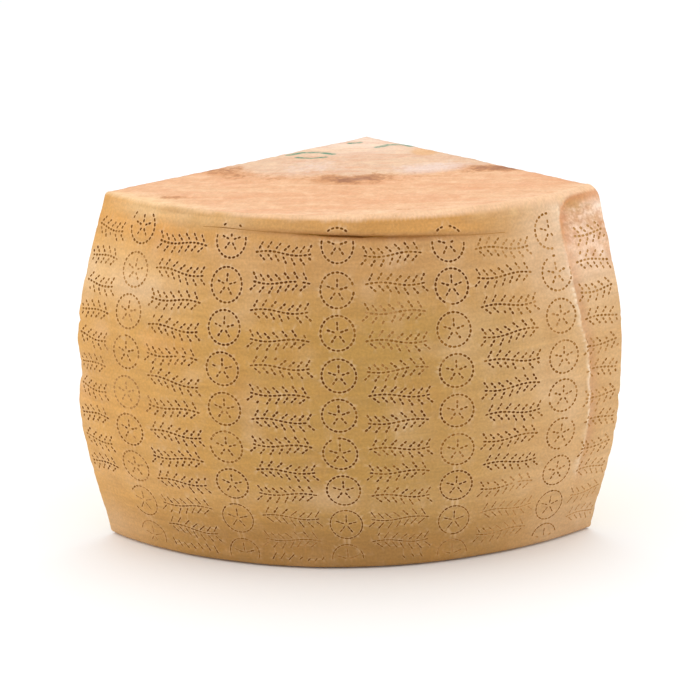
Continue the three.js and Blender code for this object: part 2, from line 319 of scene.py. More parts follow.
def rind_relief(degrees, height):
    """How far the rind stands out from the smooth barrel: the sum of all its swellings and hollows."""
    radius = curve_through(BARREL_RADII, height / HEIGHT)
    crease = crease_height(degrees)
    strength = crease_strength(degrees)
    lip = LIP_PROUD * strength * ease(crease + LIP_SWELLS[0], crease + LIP_SWELLS[1], height)
    groove = CREASE_DEPTH * strength * swell(crease, CREASE_HALF_WIDTH, height)
    spread = FLARE_LEAST + (1 - FLARE_LEAST) * swell(0, RIGHT_CUT, degrees)
    flare = HEEL_FLARE * spread * (1 - ease(0, HEEL_FLARE_HEIGHT, height))
    across = degrees * WAVE_MM_PER_DEGREE
    uneven = waves(across, height, RIND_WAVES)
    skin = waves(across, height, SKIN_WAVES)
    worn = scoop(degrees, height, radius) + step(degrees, height, radius) + left_edge_wear(degrees, height)
    return lip - groove + flare + uneven + skin + worn


print("relief half way up the middle:", round(float(rind_relief(0.0, HEIGHT / 2)), 2), "mm")

# %% [markdown]
# A point of the rind is given by two numbers: the way along the rind and the rise from heel to rim.
# The rise also runs round the two rounded edges. A ray from the corner where the cuts meet finds the
# circle of the wheel at that height, and the relief moves the point in or out.

# %% Surface of the rind
TOP_WAVES = ((0.4, 60, 3), (0.2, 24, 4))
TOP_WAVES_BELOW = 30  # they fade out over this height below the top


def wheel_centre_x(height):
    """The wheel leans: the centre of each level circle moves towards +X as it gets higher."""
    return LEAN * (height / HEIGHT - 0.5)


def wheel_degrees(x, y, z):
    """The angle on the wheel, seen from the wheel's own centre at that height."""
    return np.degrees(np.arctan2(x - wheel_centre_x(z), -y))


def top_height(x):
    """The top rises gently towards +X."""
    return HEIGHT + TOP_RISE * x


def top_relief(x, y):
    """The slight unevenness of the flat face."""
    return waves(x, y, TOP_WAVES)


def rim_round(across):
    """The radius of the rounded rim grows towards the right cut, with the square of the share covered."""
    degrees, shares = zip(*RIM_SHARES)
    share = np.interp(across / MM_PER_DEGREE, degrees, shares)
    return RIM_ROUND_LEFT + (RIM_ROUND_RIGHT - RIM_ROUND_LEFT) * share**2


def ray_length(angle, height, radius):
    """From the cut corner to the circle of this radius about the wheel's centre at this height."""
    from_x = CUT_MEET_X - wheel_centre_x(height)
    along = from_x * np.cos(angle) + CUT_MEET_Y * np.sin(angle)
    return -along + np.sqrt(along**2 - from_x**2 - CUT_MEET_Y**2 + radius**2)


def rind_places(across, rise):
    """For each point: its ray's angle, its height, the barrel's radius there and its angle on the wheel."""
    angle = np.radians(across / MM_PER_DEGREE - 90)
    rounding = rim_round(across)
    top = top_height(CUT_MEET_X + BARREL_RADII[-1] * np.cos(angle))
    heel_turn = np.clip(rise / HEEL_ROUND, 0, 1) * QUARTER_TURN
    rim_turn = np.clip((rise - HEIGHT + rounding) / rounding, 0, 1) * QUARTER_TURN
    stretch = (top - rounding - HEEL_ROUND) / (HEIGHT - rounding - HEEL_ROUND)
    wall = HEEL_ROUND + (rise - HEEL_ROUND) * stretch
    height = np.where(rise < HEEL_ROUND, HEEL_ROUND * (1 - np.cos(heel_turn)), wall)
    height = np.where(rim_turn > 0, top - rounding * (1 - np.sin(rim_turn)), height)
    inset = HEEL_ROUND * (1 - np.sin(heel_turn)) + rounding * (1 - np.cos(rim_turn))
    radius = curve_through(BARREL_RADII, np.minimum(height / HEIGHT, 1)) - inset
    smooth = ray_length(angle, height, radius)
    x = CUT_MEET_X + smooth * np.cos(angle) - wheel_centre_x(height)
    y = CUT_MEET_Y + smooth * np.sin(angle)
    return angle, height, radius, np.degrees(np.arctan2(x, -y))


def rind_surface(flat, depth=0.0):
    """Points (along the rind, rise) to points of the wheel, pushed inwards by depth."""
    angle, height, radius, degrees = rind_places(flat[:, 0], flat[:, 1])
    out = ray_length(angle, height, radius + rind_relief(degrees, height) - depth)
    x = CUT_MEET_X + out * np.cos(angle)
    y = CUT_MEET_Y + out * np.sin(angle)
    z = height + top_relief(x, y) * ease(HEIGHT - TOP_WAVES_BELOW, HEIGHT, height)
    return np.column_stack([x, y, z])


middle_line = rind_surface(np.column_stack([np.zeros(5), np.linspace(0, HEIGHT, 5)]))
print("distance from the axis up the middle:", np.round(-middle_line[:, 1], 1), "mm")

# %% [markdown]
# The rind's pattern is pressed in by a plastic band inside the mould. Its lines are chains of bars, each
# about 2 mm long. Here it is a plain ornament of two motifs in upright rows: rings with a spoked middle,
# and sprigs with a bent stem and slanted leaves. A motif is a list of bars, each with a middle and a
# slant, so that any motif can be drawn again at any place.

# %% Motifs of pressed bars
BAR_LENGTH = 2.05
BAR_WIDTH = 1.3
RING_RADIUS = 9.6
RING_BARS = 22
SPOKES = 5
SPOKE_BARS = (2.6, 5.3)  # how far from the ring's middle
SPRIG_LENGTH = 35.0
STEM_BARS = 13
STEM_BEND = 1.0
LEAF_PAIRS = 7
LEAF_BARS = (3.0, 5.6)  # how far from the stem, along the leaf
LEAF_SLANT = math.radians(50)
LEAF_START = 0.3  # where a leaf leaves its stretch of the stem


def ring_motif():
    """Bars on a circle, each along it, and spokes of two bars, each pointing away from the middle."""
    around = (np.arange(RING_BARS) + 0.5) * FULL_TURN / RING_BARS
    spoke = np.arange(SPOKES) * FULL_TURN / SPOKES + QUARTER_TURN
    chains = [(RING_RADIUS, around, around + QUARTER_TURN)]
    chains += [(radius, spoke, spoke) for radius in SPOKE_BARS]
    return np.concatenate([
        np.column_stack([radius * np.cos(angle), radius * np.sin(angle), slant])
        for radius, angle, slant in chains
    ])


def sprig_motif():
    """A stem along one wave of a sine, and leaves of two bars that slant forward from it on both sides."""
    def stem(share):
        x = (share - 0.5) * SPRIG_LENGTH
        y = STEM_BEND * np.sin(FULL_TURN * share)
        slope = STEM_BEND * FULL_TURN / SPRIG_LENGTH * np.cos(FULL_TURN * share)
        return x, y, np.arctan(slope)

    chains = [np.column_stack(stem((np.arange(STEM_BARS) + 0.5) / STEM_BARS))]
    x, y, slant = stem((np.arange(LEAF_PAIRS) + LEAF_START) / LEAF_PAIRS)
    for side in (-1, 1):
        leaf = slant + side * LEAF_SLANT
        for away in LEAF_BARS:
            chains.append(np.column_stack([x + away * np.cos(leaf), y + away * np.sin(leaf), leaf]))
    return np.concatenate(chains)


ring = ring_motif()
sprig = sprig_motif()
print("a ring has", len(ring), "bars and a sprig", len(sprig))

# %% [markdown]
# The band went once round the wheel, so the rows run on to both cuts and are cut off there. In the
# lowest rows the bars run together into thin grooves. The marks keep clear of the crease, of the
# hollow's steep wall and of a bare field at the lower left.

# %% Lay the motifs out on the rind
COLUMN_PITCH = 66.0
RING_PITCH = 23.5
SPRIG_PITCH = 15.6
TOP_RING = 194.5
TOP_SPRIG = 189.5
PATTERN_LOW = 5.0
PATTERN_HIGH = 205.5
PLACE_SPREAD = 0.3  # how far the motifs stray, and how much they turn
TWIST_SPREAD = math.radians(1.4)
LENGTH_SPREAD = (0.88, 1.04)
WIDTH_SPREAD = (0.85, 1.12)
GROOVE_BELOW = 46.0  # the lowest rows are grooves
GROOVE_SOFT = 12  # over this height bars turn into grooves, with this spread
GROOVE_SPREAD = 5
GROOVE_STRETCH = 0.2  # bars run into each other there, and are narrower
GROOVE_THINNING = 0.34
ROW_FALL = 0.02
BARE_FIELD = (-47.0, -37.5, 4.0, 43.0)  # degrees and heights
SCOOP_BARE = (-1.2, 3.4)  # degrees beside the hollow's wall where no mark reaches
SCOOP_MARKS = (172, 194)  # heights: above the first its wall is bare, above the second all of it
CREASE_CLEAR = 1.0
CUT_CLEAR = 2
LOST_SHARE = 0.012  # of the bars
rng = np.random.default_rng(seed=11)


def repeat_motif(motif, columns, pitch, highest):
    """Every column gets the motif at an even pitch down the rind, each turned and moved by a hair."""
    rows = highest - pitch * np.arange(int(highest / pitch) + 1)
    place = np.array([(column, row) for column in columns for row in rows])
    place += rng.normal(0, PLACE_SPREAD, place.shape)
    twist = rng.normal(0, TWIST_SPREAD, len(place))
    mirrored = np.where(np.arange(len(place)) % 2 == 0, 1.0, -1.0)
    x = motif[None, :, 0] * mirrored[:, None]
    y = np.broadcast_to(motif[None, :, 1], x.shape)
    slant = np.where(mirrored[:, None] > 0, motif[None, :, 2], math.pi - motif[None, :, 2])
    across = place[:, 0, None] + x * np.cos(twist)[:, None] - y * np.sin(twist)[:, None]
    rise = place[:, 1, None] + x * np.sin(twist)[:, None] + y * np.cos(twist)[:, None]
    rise = rise - ROW_FALL * across
    press = np.broadcast_to(rng.uniform(0, 1, len(place))[:, None], across.shape)
    columns = (across, rise, slant + twist[:, None], press)
    return np.column_stack([column.ravel() for column in columns])


ring_columns = np.arange(-2, 3) * COLUMN_PITCH
sprig_columns = (np.arange(-3, 3) + 0.5) * COLUMN_PITCH
bars = np.concatenate([
    repeat_motif(ring, ring_columns, RING_PITCH, TOP_RING),
    repeat_motif(sprig, sprig_columns, SPRIG_PITCH, TOP_SPRIG),
])
across, rise, slant, motif_press = bars.T
ragged = rise + rng.normal(0, GROOVE_SPREAD, len(bars))
grooved = 1 - ease(GROOVE_BELOW - GROOVE_SOFT, GROOVE_BELOW + GROOVE_SOFT, ragged)
length = BAR_LENGTH * (1 + GROOVE_STRETCH * grooved) * rng.uniform(*LENGTH_SPREAD, len(bars))
width = BAR_WIDTH * (1 - GROOVE_THINNING * grooved) * rng.uniform(*WIDTH_SPREAD, len(bars))
degrees = across / MM_PER_DEGREE
half_rise = 0.5 * (length * np.abs(np.sin(slant)) + width * np.abs(np.cos(slant)))
half_across = 0.5 * (length * np.abs(np.cos(slant)) + width * np.abs(np.sin(slant)))
to_crease = np.abs(rise - crease_height(degrees)) - half_rise
near_crease = (to_crease < CREASE_CLEAR) & (crease_strength(degrees) > 0)
past_wall = degrees - SCOOP_LEFT
in_scoop = (past_wall > SCOOP_BARE[0]) & (rise > SCOOP_MARKS[0])
in_scoop &= (past_wall < SCOOP_BARE[1]) | (rise > SCOOP_MARKS[1])
in_field = (degrees > BARE_FIELD[0]) & (degrees < BARE_FIELD[1])
in_field &= (rise > BARE_FIELD[2]) & (rise < BARE_FIELD[3])
inside = (across - half_across > LEFT_EDGE + CUT_CLEAR) & (across + half_across < RIGHT_EDGE - CUT_CLEAR)
inside &= (rise - half_rise > PATTERN_LOW) & (rise + half_rise < PATTERN_HIGH)
lost = rng.uniform(0, 1, len(bars)) < LOST_SHARE
kept = inside & ~near_crease & ~in_scoop & ~in_field & ~lost
bars, length, width, grooved, degrees = (values[kept] for values in (bars, length, width, grooved, degrees))
print(len(bars), "bars are kept")

# %% [markdown]
# No two marks came out alike: some motifs are pressed deep and dark, others are worn to a faint gold.
# The wear of a bar is a sum too: broad waves, whole motifs that stayed faint, and more wear in the
# grooves, beside the step, at both sides and around the hollow.

# %% How deep each bar is pressed
MEAN_PRESS = 0.85  # before wear
PRESS_SPREAD = 0.08
PRESS_LIMITS = (0.3, 1.0)
WEAR_WAVES = ((0.21, 34, 7), (0.12, 13, 8))
FAINT_SHARE = 0.16  # of the motifs
FAINT_WEAR = 0.18
GROOVE_WEAR = 0.14
SEAM_WEAR = (0.19, (38, 41))  # the wear, and the degrees over which it sets in
SIDE_WEAR = (0.2, (22, 34))
HOLLOW_WEAR = (0.16, (168, 190), (36, 40))  # the wear, heights and degrees

across, rise, slant, motif_press = bars.T
wear = waves(across, rise, WEAR_WAVES)
wear += FAINT_WEAR * (motif_press < FAINT_SHARE) + GROOVE_WEAR * grooved
wear += SEAM_WEAR[0] * ease(*SEAM_WEAR[1], degrees)
wear += (SIDE_WEAR[0] * ease(*SIDE_WEAR[1], np.abs(degrees))
         + HOLLOW_WEAR[0] * ease(*HOLLOW_WEAR[1], rise) * ease(*HOLLOW_WEAR[2], degrees))
pressed = np.clip(MEAN_PRESS - wear + rng.normal(0, PRESS_SPREAD, len(bars)), *PRESS_LIMITS)
print("mean press", round(float(pressed.mean()), 2))

# %% [markdown]
# Each bar is a little trough with sloped walls. Its outline is a box with the corners cut off, and its
# floor is a smaller box that lies deeper. Both outlines are handed to Blender's constrained
# triangulation in the flat plane of the rind, together with loose points in between. It joins everything
# into triangles without a gap, and then the surface function carries the whole net onto the barrel.

# %% Outlines of the bars
PRESS_DEPTH = 0.75
PUSHED_UP = 0.26  # the rim of paste along a trough
PUSHED_AT_END = 0.3  # its share at the short ends
LIP_REACH = 0.62  # how far from the trough it has sunk back
WALL = 0.26
CORNER_CUT = 0.3
OUTER_CORNERS = (  # side, edge, and whether the point lies on a long side
    (1, -1, 0), (1, 1, 0), (1, 1, 1), (-1, 1, 1), (-1, 1, 0), (-1, -1, 0), (-1, -1, 1), (1, -1, 1))
FLOOR_CORNERS = ((1, -1, 0), (1, 1, 0), (-1, 1, 0), (-1, -1, 0))


def bar_outlines(middle, slant, length, width, corners, cut_share):
    """Boxes at these places and slants, in counter-clockwise order, with their corners cut by a share."""
    side, edge, on_long_side = np.array(corners).T[:, None, :]
    cut = cut_share * width[:, None]
    x = side * (length[:, None] / 2 - cut * on_long_side)
    y = edge * (width[:, None] / 2 - cut * (1 - on_long_side))
    cos, sin = np.cos(slant)[:, None], np.sin(slant)[:, None]
    return np.stack([x * cos - y * sin, x * sin + y * cos], axis=2) + middle[:, None, :]


outer = bar_outlines(bars[:, :2], bars[:, 2], length, width, OUTER_CORNERS, CORNER_CUT)
floor = bar_outlines(bars[:, :2], bars[:, 2], length - 2 * WALL, width - 2 * WALL, FLOOR_CORNERS, 0.0)
pushed_share = np.where(np.array(OUTER_CORNERS)[:, 2] == 1, 1.0, PUSHED_AT_END)
sideways = np.column_stack([-np.sin(bars[:, 2]), np.cos(bars[:, 2])]) * (width / 2 + LIP_REACH)[:, None]
sunk_back = np.concatenate([bars[:, :2] + sideways, bars[:, :2] - sideways])
print("outlines use", len(bars) * (len(OUTER_CORNERS) + len(FLOOR_CORNERS)), "points")

# %% [markdown]
# Loose points fill the plain rind between the bars. They stand on a staggered grid and are moved a
# little at random, so that no rows show. The helpers here also keep points apart, because the net's
# triangles turn thin where two points almost touch.

# %% Loose points and the net of triangles
ROW_SHARE = 0.87  # rows of even triangles are this much closer than their points
STRAY_SHARE = 0.25
CELL_STRIDE = 100003  # more than the number of squares in any column
AT_A_TIME = 500
NET_KIND = 1  # triangles inside the outlines only
NET_GAP = 1e-6


def scatter(low, high, spacing, seed):
    """A staggered grid between two corners, each point moved by up to a quarter of the spacing."""
    rows = np.arange(low[1], high[1], spacing * ROW_SHARE)
    columns = np.arange(low[0], high[0], spacing)
    x, y = np.meshgrid(columns, rows)
    x = x + (np.arange(len(rows)) % 2)[:, None] * spacing / 2
    points = np.column_stack([x.ravel(), y.ravel()])
    return points + np.random.default_rng(seed).uniform(-STRAY_SHARE, STRAY_SHARE, points.shape) * spacing


def square_of(points, size):
    """One whole number for the square of this size that each point lies in."""
    cell = np.floor(points / size).astype(np.int64)
    return cell[:, 0] * CELL_STRIDE + cell[:, 1]


def clear_of(points, taken, gap):
    """True where no taken point lies in the same or a neighbouring square of this size."""
    used = np.unique(square_of(taken, gap))
    clear = np.ones(len(points), bool)
    for beside in (-gap, 0.0, gap):
        for above in (-gap, 0.0, gap):
            clear &= ~np.isin(square_of(points + (beside, above), gap), used)
    return clear


def outside_bars(points, gap):
    """True where a point is at least this far outside every bar's box, for some of the points at a time."""
    cos, sin = np.cos(bars[:, 2]), np.sin(bars[:, 2])
    clear = []
    for first in range(0, len(points), AT_A_TIME):
        away = points[first:first + AT_A_TIME, None, :] - bars[None, :, :2]
        along = np.abs(away[..., 0] * cos + away[..., 1] * sin) - length / 2
        across = np.abs(away[..., 1] * cos - away[..., 0] * sin) - width / 2
        clear.append((np.maximum(along, across) > gap).all(axis=1))
    return np.concatenate(clear)


def thinned(points, spacing):
    """The first point in each square of this size."""
    return points[np.sort(np.unique(square_of(points, spacing), return_index=True)[1])]


def level_line(across, rise):
    """Points at these places along the rind, all at one rise."""
    return np.column_stack([across, np.full(len(across), rise)])


def rows_along(line, offsets):
    """Copies of a line of points, one for each offset (along the rind, rise)."""
    return np.concatenate([line + offset for offset in offsets])


def net(points, loops):
    """Joins points into triangles inside the first loop, which is the outline. Gives the flat points, the
    triangles, the number of the point that each came from, and the number of the innermost loop."""
    made = delaunay_2d_cdt(points.tolist(), [], loops, NET_KIND, NET_GAP, True)
    flat = np.array([tuple(point) for point in made[0]])
    source = np.array([ids[0] if ids else -1 for ids in made[3]])
    flat[source >= 0] = points[source[source >= 0]]
    owner = np.array([max(ids) if ids else -1 for ids in made[5]])
    triangles = np.array(made[2])[owner >= 0]
    return flat, triangles, source, owner[owner >= 0]


def filled(outline, inner):
    """A net inside one closed outline: its flat points, its triangles and where each point came from."""
    flat, triangles, source, _ = net(np.concatenate([outline, inner]), [list(range(len(outline)))])
    return flat, triangles, source


def pin_outline(points_3d, source, outline):
    """Puts the points that came from the outline exactly on it, so that two patches meet without a gap."""
    known = (source >= 0) & (source < len(outline))
    points_3d[known] = outline[source[known]]


print("a grid of 2 mm has", len(scatter((0, 0), (100, 100), 2.0, seed=1)), "points in a square of 100 mm")

# %% [markdown]
# The rind's outline runs along the heel, up the right cut edge, back along the rim and down the left
# cut edge. Crumbs broke away along both cut edges, so these lines are a little ragged.

# %% Outline of the rind
CHIP = 0.9  # the cut edges are chipped by up to this much
CHIP_ENDS = (6, 9)  # chips fade out over these heights at the foot and at the rim
SIDE_CRUMBS = (0.15, 5.5, 2.6, 0.6)  # what breaks away anywhere, two sizes of crumbs, share of the small
EDGE_STEP = 2.1
HEEL_POINTS = 5
RIM_POINTS = 7
RIM_LINE_POINTS = 131


def crumbs(along, kind, seed):
    """What broke away along an edge: a little everywhere, and more where a random relief is above 0."""
    least, large, small, small_share = kind
    large_ones = np.maximum(lumps_along(along, large, seed), 0)
    small_ones = np.maximum(lumps_along(along, small, seed + 1), 0)
    return least + (large_ones + small_share * small_ones)


def edge_chips(rise, seed):
    """How far crumbs broke away along an upright cut edge, with none at the very ends."""
    ends = (ease(0, CHIP_ENDS[0], rise), ease(0, CHIP_ENDS[1], HEIGHT - rise))
    return CHIP * crumbs(rise, SIDE_CRUMBS, seed) * ends[0] * ends[1]


def rind_rises(rounding):
    """Rises up a cut edge: close steps round the heel and the rim, and even steps up the wall."""
    wall = np.arange(HEEL_ROUND, HEIGHT - rounding, EDGE_STEP)
    heel = np.linspace(0, HEEL_ROUND, HEEL_POINTS)[:-1]
    rim = np.linspace(HEIGHT - rounding, HEIGHT, RIM_POINTS)
    return np.concatenate([heel, wall[:-1], rim])


left_rises = rind_rises(RIM_ROUND_LEFT)
right_rises = rind_rises(RIM_ROUND_RIGHT)
left_line = np.column_stack([LEFT_EDGE + edge_chips(left_rises, seed=31), left_rises])
right_line = np.column_stack([RIGHT_EDGE - edge_chips(right_rises, seed=41), right_rises])
rim_across = np.linspace(LEFT_EDGE, RIGHT_EDGE, RIM_LINE_POINTS)[1:-1]
rim_line = level_line(rim_across, HEIGHT)
heel_line = level_line(rim_across, 0)
rind_outline = np.concatenate([heel_line, right_line, rim_line[::-1], left_line[::-1]])
print(len(rind_outline), "outline points")

# %% [markdown]
# Near the rim, the crease and the step, where the form changes quickly, rows of closer points follow
# the form. Each row is the same line again, moved by an offset.

# %% Rows that follow the form
FOLD_HEIGHT = 207.1  # a hair-thin fold under the rim, at the left
FOLD_DEGREES = (-39.0, -19.0, 0.5)  # from, to and step, as in the next rows
CREASE_DEGREES = (-24.0, 32.0, 0.62)
STEP_RISES = (34.0, 207.0, 3.2)
CREASE_OFFSETS = ((0.4, -3.4), (0.9, -1.7), (0.2, 1.7), (0.7, 3.4))  # along the rind and up
STEP_OFFSETS = ((-4.4, 0.9), (-2.6, 0.2), (-1.2, 1.1), (0.0, 0.0), (1.1, 0.8), (2.4, 0.3), (4.2, 1.0))
FOLD_OFFSETS = ((0.0, -0.6), (0.4, 0.0), (0.9, 0.6))
RIM_ROW_SHARES = (0.3, 0.6, 1.0)  # of the rim's rounding, down from the rim
SHARP_RIM = 4.0  # where the rounding is less than this, two rows more lie this far below the rim
SHARP_ROWS = (2.6, 4.2)
SHARP_OFFSET = 0.9
HEEL_ROWS = (0.8, 1.7, 3.0, 6.0)
SCOOP_FIELD = ((SCOOP_LEFT * MM_PER_DEGREE - 3, 172), (RIGHT_EDGE - 1.5, 209))  # two corners
SCOOP_SPACING = 1.45

crease_across = np.arange(*CREASE_DEGREES) * MM_PER_DEGREE
crease_line = np.column_stack([crease_across, crease_height(crease_across / MM_PER_DEGREE)])
step_rises = np.arange(*STEP_RISES)
step_line = np.column_stack([step_place(step_rises) * MM_PER_DEGREE - seam_wander(step_rises), step_rises])
fold_line = level_line(np.arange(*FOLD_DEGREES) * MM_PER_DEGREE, FOLD_HEIGHT)
rim_rows = [np.column_stack([rim_across, HEIGHT - rim_round(rim_across) * share]) for share in RIM_ROW_SHARES]
sharp_across = rim_across[rim_round(rim_across) < SHARP_RIM] + SHARP_OFFSET
rim_rows += [level_line(sharp_across, HEIGHT - below) for below in SHARP_ROWS]
heel_rows = [level_line(rim_across, rise) for rise in HEEL_ROWS]
form_points = np.concatenate([
    rows_along(crease_line, CREASE_OFFSETS),
    rows_along(step_line, STEP_OFFSETS),
    rows_along(fold_line, FOLD_OFFSETS),
    scatter(*SCOOP_FIELD, SCOOP_SPACING, seed=3),
    *rim_rows,
    *heel_rows,
])
print(len(form_points), "form points")

# %% [markdown]
# The crease itself is a thin dark slit, widest in the middle. It is one more loop for the net: two rows
# of points a fraction of a millimetre apart, with a deep row between them.

# %% Cut the crease and join the rind
SLIT_HALF_WIDTH = 0.55
SLIT_DEPTH = 1.1
SLIT_DEGREES = (-23.0, 27.5, 0.4)  # from, to and step
SLIT_WAVES = ((0.5, 17, 51), (0.15, 5, 52))
SLIT_MIDDLE = 0.8
SLIT_WIDE = 10  # degrees from its middle to where it is narrow
SLIT_OPEN = 8
SLIT_NARROW = 0.35  # the least share of its width
SLIT_SHALLOW = 0.15  # and of its depth
SLIT_LEFT = (-19, 4)  # it opens a little once more, here
SLIT_LEFT_SHARE = 0.4
SUNK_GAPS = (0.45, 0.6, 0.5, 0.6)  # from bars, from the outline, from the slit and from each other
FORM_GAPS = (0.7, 0.6, 0.6)  # from bars and slit, from the outline and from the points before
LOOSE_GAPS = (0.9, 1.3, 1.2)
LOOSE_SPACING = 3.3
LOOSE_CLEAR = (1.5, 1)  # from the cuts, and from the foot and the top


def slit_opening(degrees, left_share):
    """1 where the slit gapes at its middle, and a share of that where it opens once more at the left."""
    return np.maximum(swell(SLIT_MIDDLE, SLIT_OPEN, degrees), left_share * swell(*SLIT_LEFT, degrees))


slit_across = np.arange(*SLIT_DEGREES) * MM_PER_DEGREE
slit_degrees = slit_across / MM_PER_DEGREE
slit_rise = crease_height(slit_degrees) + waves(slit_across, 0 * slit_across, SLIT_WAVES)
slit_swell = swell(SLIT_MIDDLE, SLIT_WIDE, slit_degrees)
slit_half = SLIT_HALF_WIDTH * (SLIT_NARROW + (1 - SLIT_NARROW) * slit_swell)
slit_low = np.column_stack([slit_across, slit_rise - slit_half])
slit_high = np.column_stack([slit_across, slit_rise + slit_half])[::-1]
slit_middle = np.column_stack([slit_across, slit_rise])[1:-1]
slit_loop = np.concatenate([slit_low, slit_high])

crowded = np.concatenate([outer.reshape(-1, 2), slit_loop])
sunk_clear = outside_bars(sunk_back, SUNK_GAPS[0]) & clear_of(sunk_back, rind_outline, SUNK_GAPS[1])
sunk_back = sunk_back[sunk_clear]
sunk_back = thinned(sunk_back[clear_of(sunk_back, slit_loop, SUNK_GAPS[2])], SUNK_GAPS[3])
form_clear = clear_of(form_points, crowded, FORM_GAPS[0]) & clear_of(form_points, rind_outline, FORM_GAPS[1])
form_points = form_points[form_clear]
form_points = np.concatenate([sunk_back, form_points[clear_of(form_points, sunk_back, FORM_GAPS[2])]])
loose = scatter((LEFT_EDGE, 0), (RIGHT_EDGE, HEIGHT), LOOSE_SPACING, seed=5)
for taken, gap in zip((crowded, rind_outline, form_points), LOOSE_GAPS):
    loose = loose[clear_of(loose, taken, gap)]
loose = loose[(loose[:, 0] > LEFT_EDGE + LOOSE_CLEAR[0]) & (loose[:, 0] < RIGHT_EDGE - LOOSE_CLEAR[0])]
loose = loose[(loose[:, 1] > LOOSE_CLEAR[1]) & (loose[:, 1] < HEIGHT - LOOSE_CLEAR[1])]

groups = [
    rind_outline, outer.reshape(-1, 2), floor.reshape(-1, 2), slit_loop, slit_middle, form_points, loose]
starts = np.cumsum([0] + [len(group) for group in groups])
rind_points = np.concatenate(groups)
depth = np.zeros(len(rind_points))
depth[starts[1]:starts[2]] = -PUSHED_UP * (pressed[:, None] * pushed_share).ravel()
depth[starts[2]:starts[3]] = np.repeat(PRESS_DEPTH * pressed, len(FLOOR_CORNERS))
slit_open = slit_opening(slit_middle[:, 0] / MM_PER_DEGREE, SLIT_LEFT_SHARE)
depth[starts[4]:starts[5]] = SLIT_DEPTH * (SLIT_SHALLOW + (1 - SLIT_SHALLOW) * slit_open)
loops = [list(range(starts[0], starts[1]))]
loops += np.arange(starts[1], starts[2]).reshape(-1, len(OUTER_CORNERS)).tolist()
loops += np.arange(starts[2], starts[3]).reshape(-1, len(FLOOR_CORNERS)).tolist()
loops += [list(range(starts[3], starts[4]))]
rind_flat, rind_triangles, rind_source, rind_owner = net(rind_points, loops)
rind_depth = np.where(rind_source >= 0, depth[rind_source], 0.0)
rind_edged = np.maximum(-rind_depth, 0) / PUSHED_UP
rind_points_3d = rind_surface(rind_flat, rind_depth)
print("the rind has", len(rind_triangles), "triangles")

# %% [markdown]
# The top is a flat net of its own. Its outline is the rim, whose points it takes from the rind, and the
# two straight cut edges. The points are closer together where ink was brushed on near the corner, so
# that the ink has a clean edge.

# %% Top
INK_STROKES = (  # each stroke: points (x, y) that the brush passed, and its width
    (((-40.0, -50.0), (-33.0, -45.0), (-23.0, -45.0), (-13.0, -50.5)), 2.2),
    (((-34.0, -57.0), (-25.0, -60.0), (-17.0, -58.0)), 1.8),
    (((13.0, -33.0), (19.0, -27.0), (28.0, -26.0), (33.0, -31.0)), 2.4),
    (((-5.0, -20.0), (0.5, -18.5)), 2.2),
)
INK_FIELD = ((-46, -66), (42, -10))  # two corners
INK_SPACING = 0.8
INK_REACH = 3.2
INK_GAP = 1.2
TOP_FIELD = ((-150, -200), (150, 0))
TOP_SPACING = 2.6
TOP_RIM_CLEAR = 1.4
TOP_CUT_CLEAR = 2.2
EDGE_WEAR = 0.5
EDGE_WEAR_REACH = 2.6
EDGE_WEAR_GRAIN = (1.7, 5, 61)  # drawn finer by the first number; size and seed
TOP_CHIP = 0.45  # how far crumbs broke off the two upper cut edges
TOP_CHIP_END = 8
TOP_CRUMBS = (0.1, 6, 3, 0.5)
FAR = 1e9


def ray(degrees):
    """The level direction of a ray at this angle from the middle of the rind."""
    angle = math.radians(degrees - 90)
    return np.array([math.cos(angle), math.sin(angle)])


corner = np.array([CUT_MEET_X, CUT_MEET_Y])
left_ray = ray(LEFT_CUT)
right_ray = ray(RIGHT_CUT)
left_inward = np.array([-left_ray[1], left_ray[0]])
right_inward = np.array([right_ray[1], -right_ray[0]])


def stroke_distance(points, stroke):
    """The shortest way from each point to a line through the stroke's points."""
    nearest = np.full(len(points), FAR)
    for start, end in zip(stroke[:-1], stroke[1:]):
        start = np.array(start)
        span = np.array(end) - start
        share = np.clip((points - start) @ span / (span @ span), 0, 1)
        away = np.linalg.norm(points - start - share[:, None] * span, axis=1)
        nearest = np.minimum(nearest, away)
    return nearest


def from_cuts(flat):
    """How far each point lies inside the nearer of the two cuts."""
    return np.minimum((flat - corner) @ left_inward, (flat - corner) @ right_inward)


def top_surface(flat):
    """The flat face with its unevenness, worn down a little along the two cut edges."""
    x, y = flat[:, 0], flat[:, 1]
    finer, size, seed = EDGE_WEAR_GRAIN
    crumbled = 0.5 + 0.5 * lumps(x * finer, y * finer, size, seed)
    wear = EDGE_WEAR * crumbled * (1 - ease(0, EDGE_WEAR_REACH, from_cuts(flat)))
    return np.column_stack([x, y, top_height(x) + top_relief(x, y) - wear])


def taken_from(points_3d, source, wanted):
    """The places of chosen flat points after a net was made."""
    place = np.empty(source.max() + 1, int)
    place[source[source >= 0]] = np.flatnonzero(source >= 0)
    return points_3d[place[wanted]]


heel_edge, right_edge, rim_edge, left_edge = (  # the rim from right to left, the left edge from the rim down
    taken_from(rind_points_3d, rind_source, ids)
    for ids in np.split(
        np.arange(len(rind_outline)), np.cumsum([len(heel_line), len(right_line), len(rim_line)]))
)


def cut_top_line(direction, inward, end, seed):
    """Points of a chipped top cut edge, from the corner to just short of the rim."""
    far = np.linalg.norm(end[:2] - corner)
    along = np.linspace(0, far, int(far / EDGE_STEP))[1:-1]
    chips = TOP_CHIP * crumbs(along, TOP_CRUMBS, seed)
    chips = chips * ease(0, TOP_CHIP_END, along) * ease(0, TOP_CHIP_END, far - along)
    return top_surface(corner + along[:, None] * direction + chips[:, None] * inward)


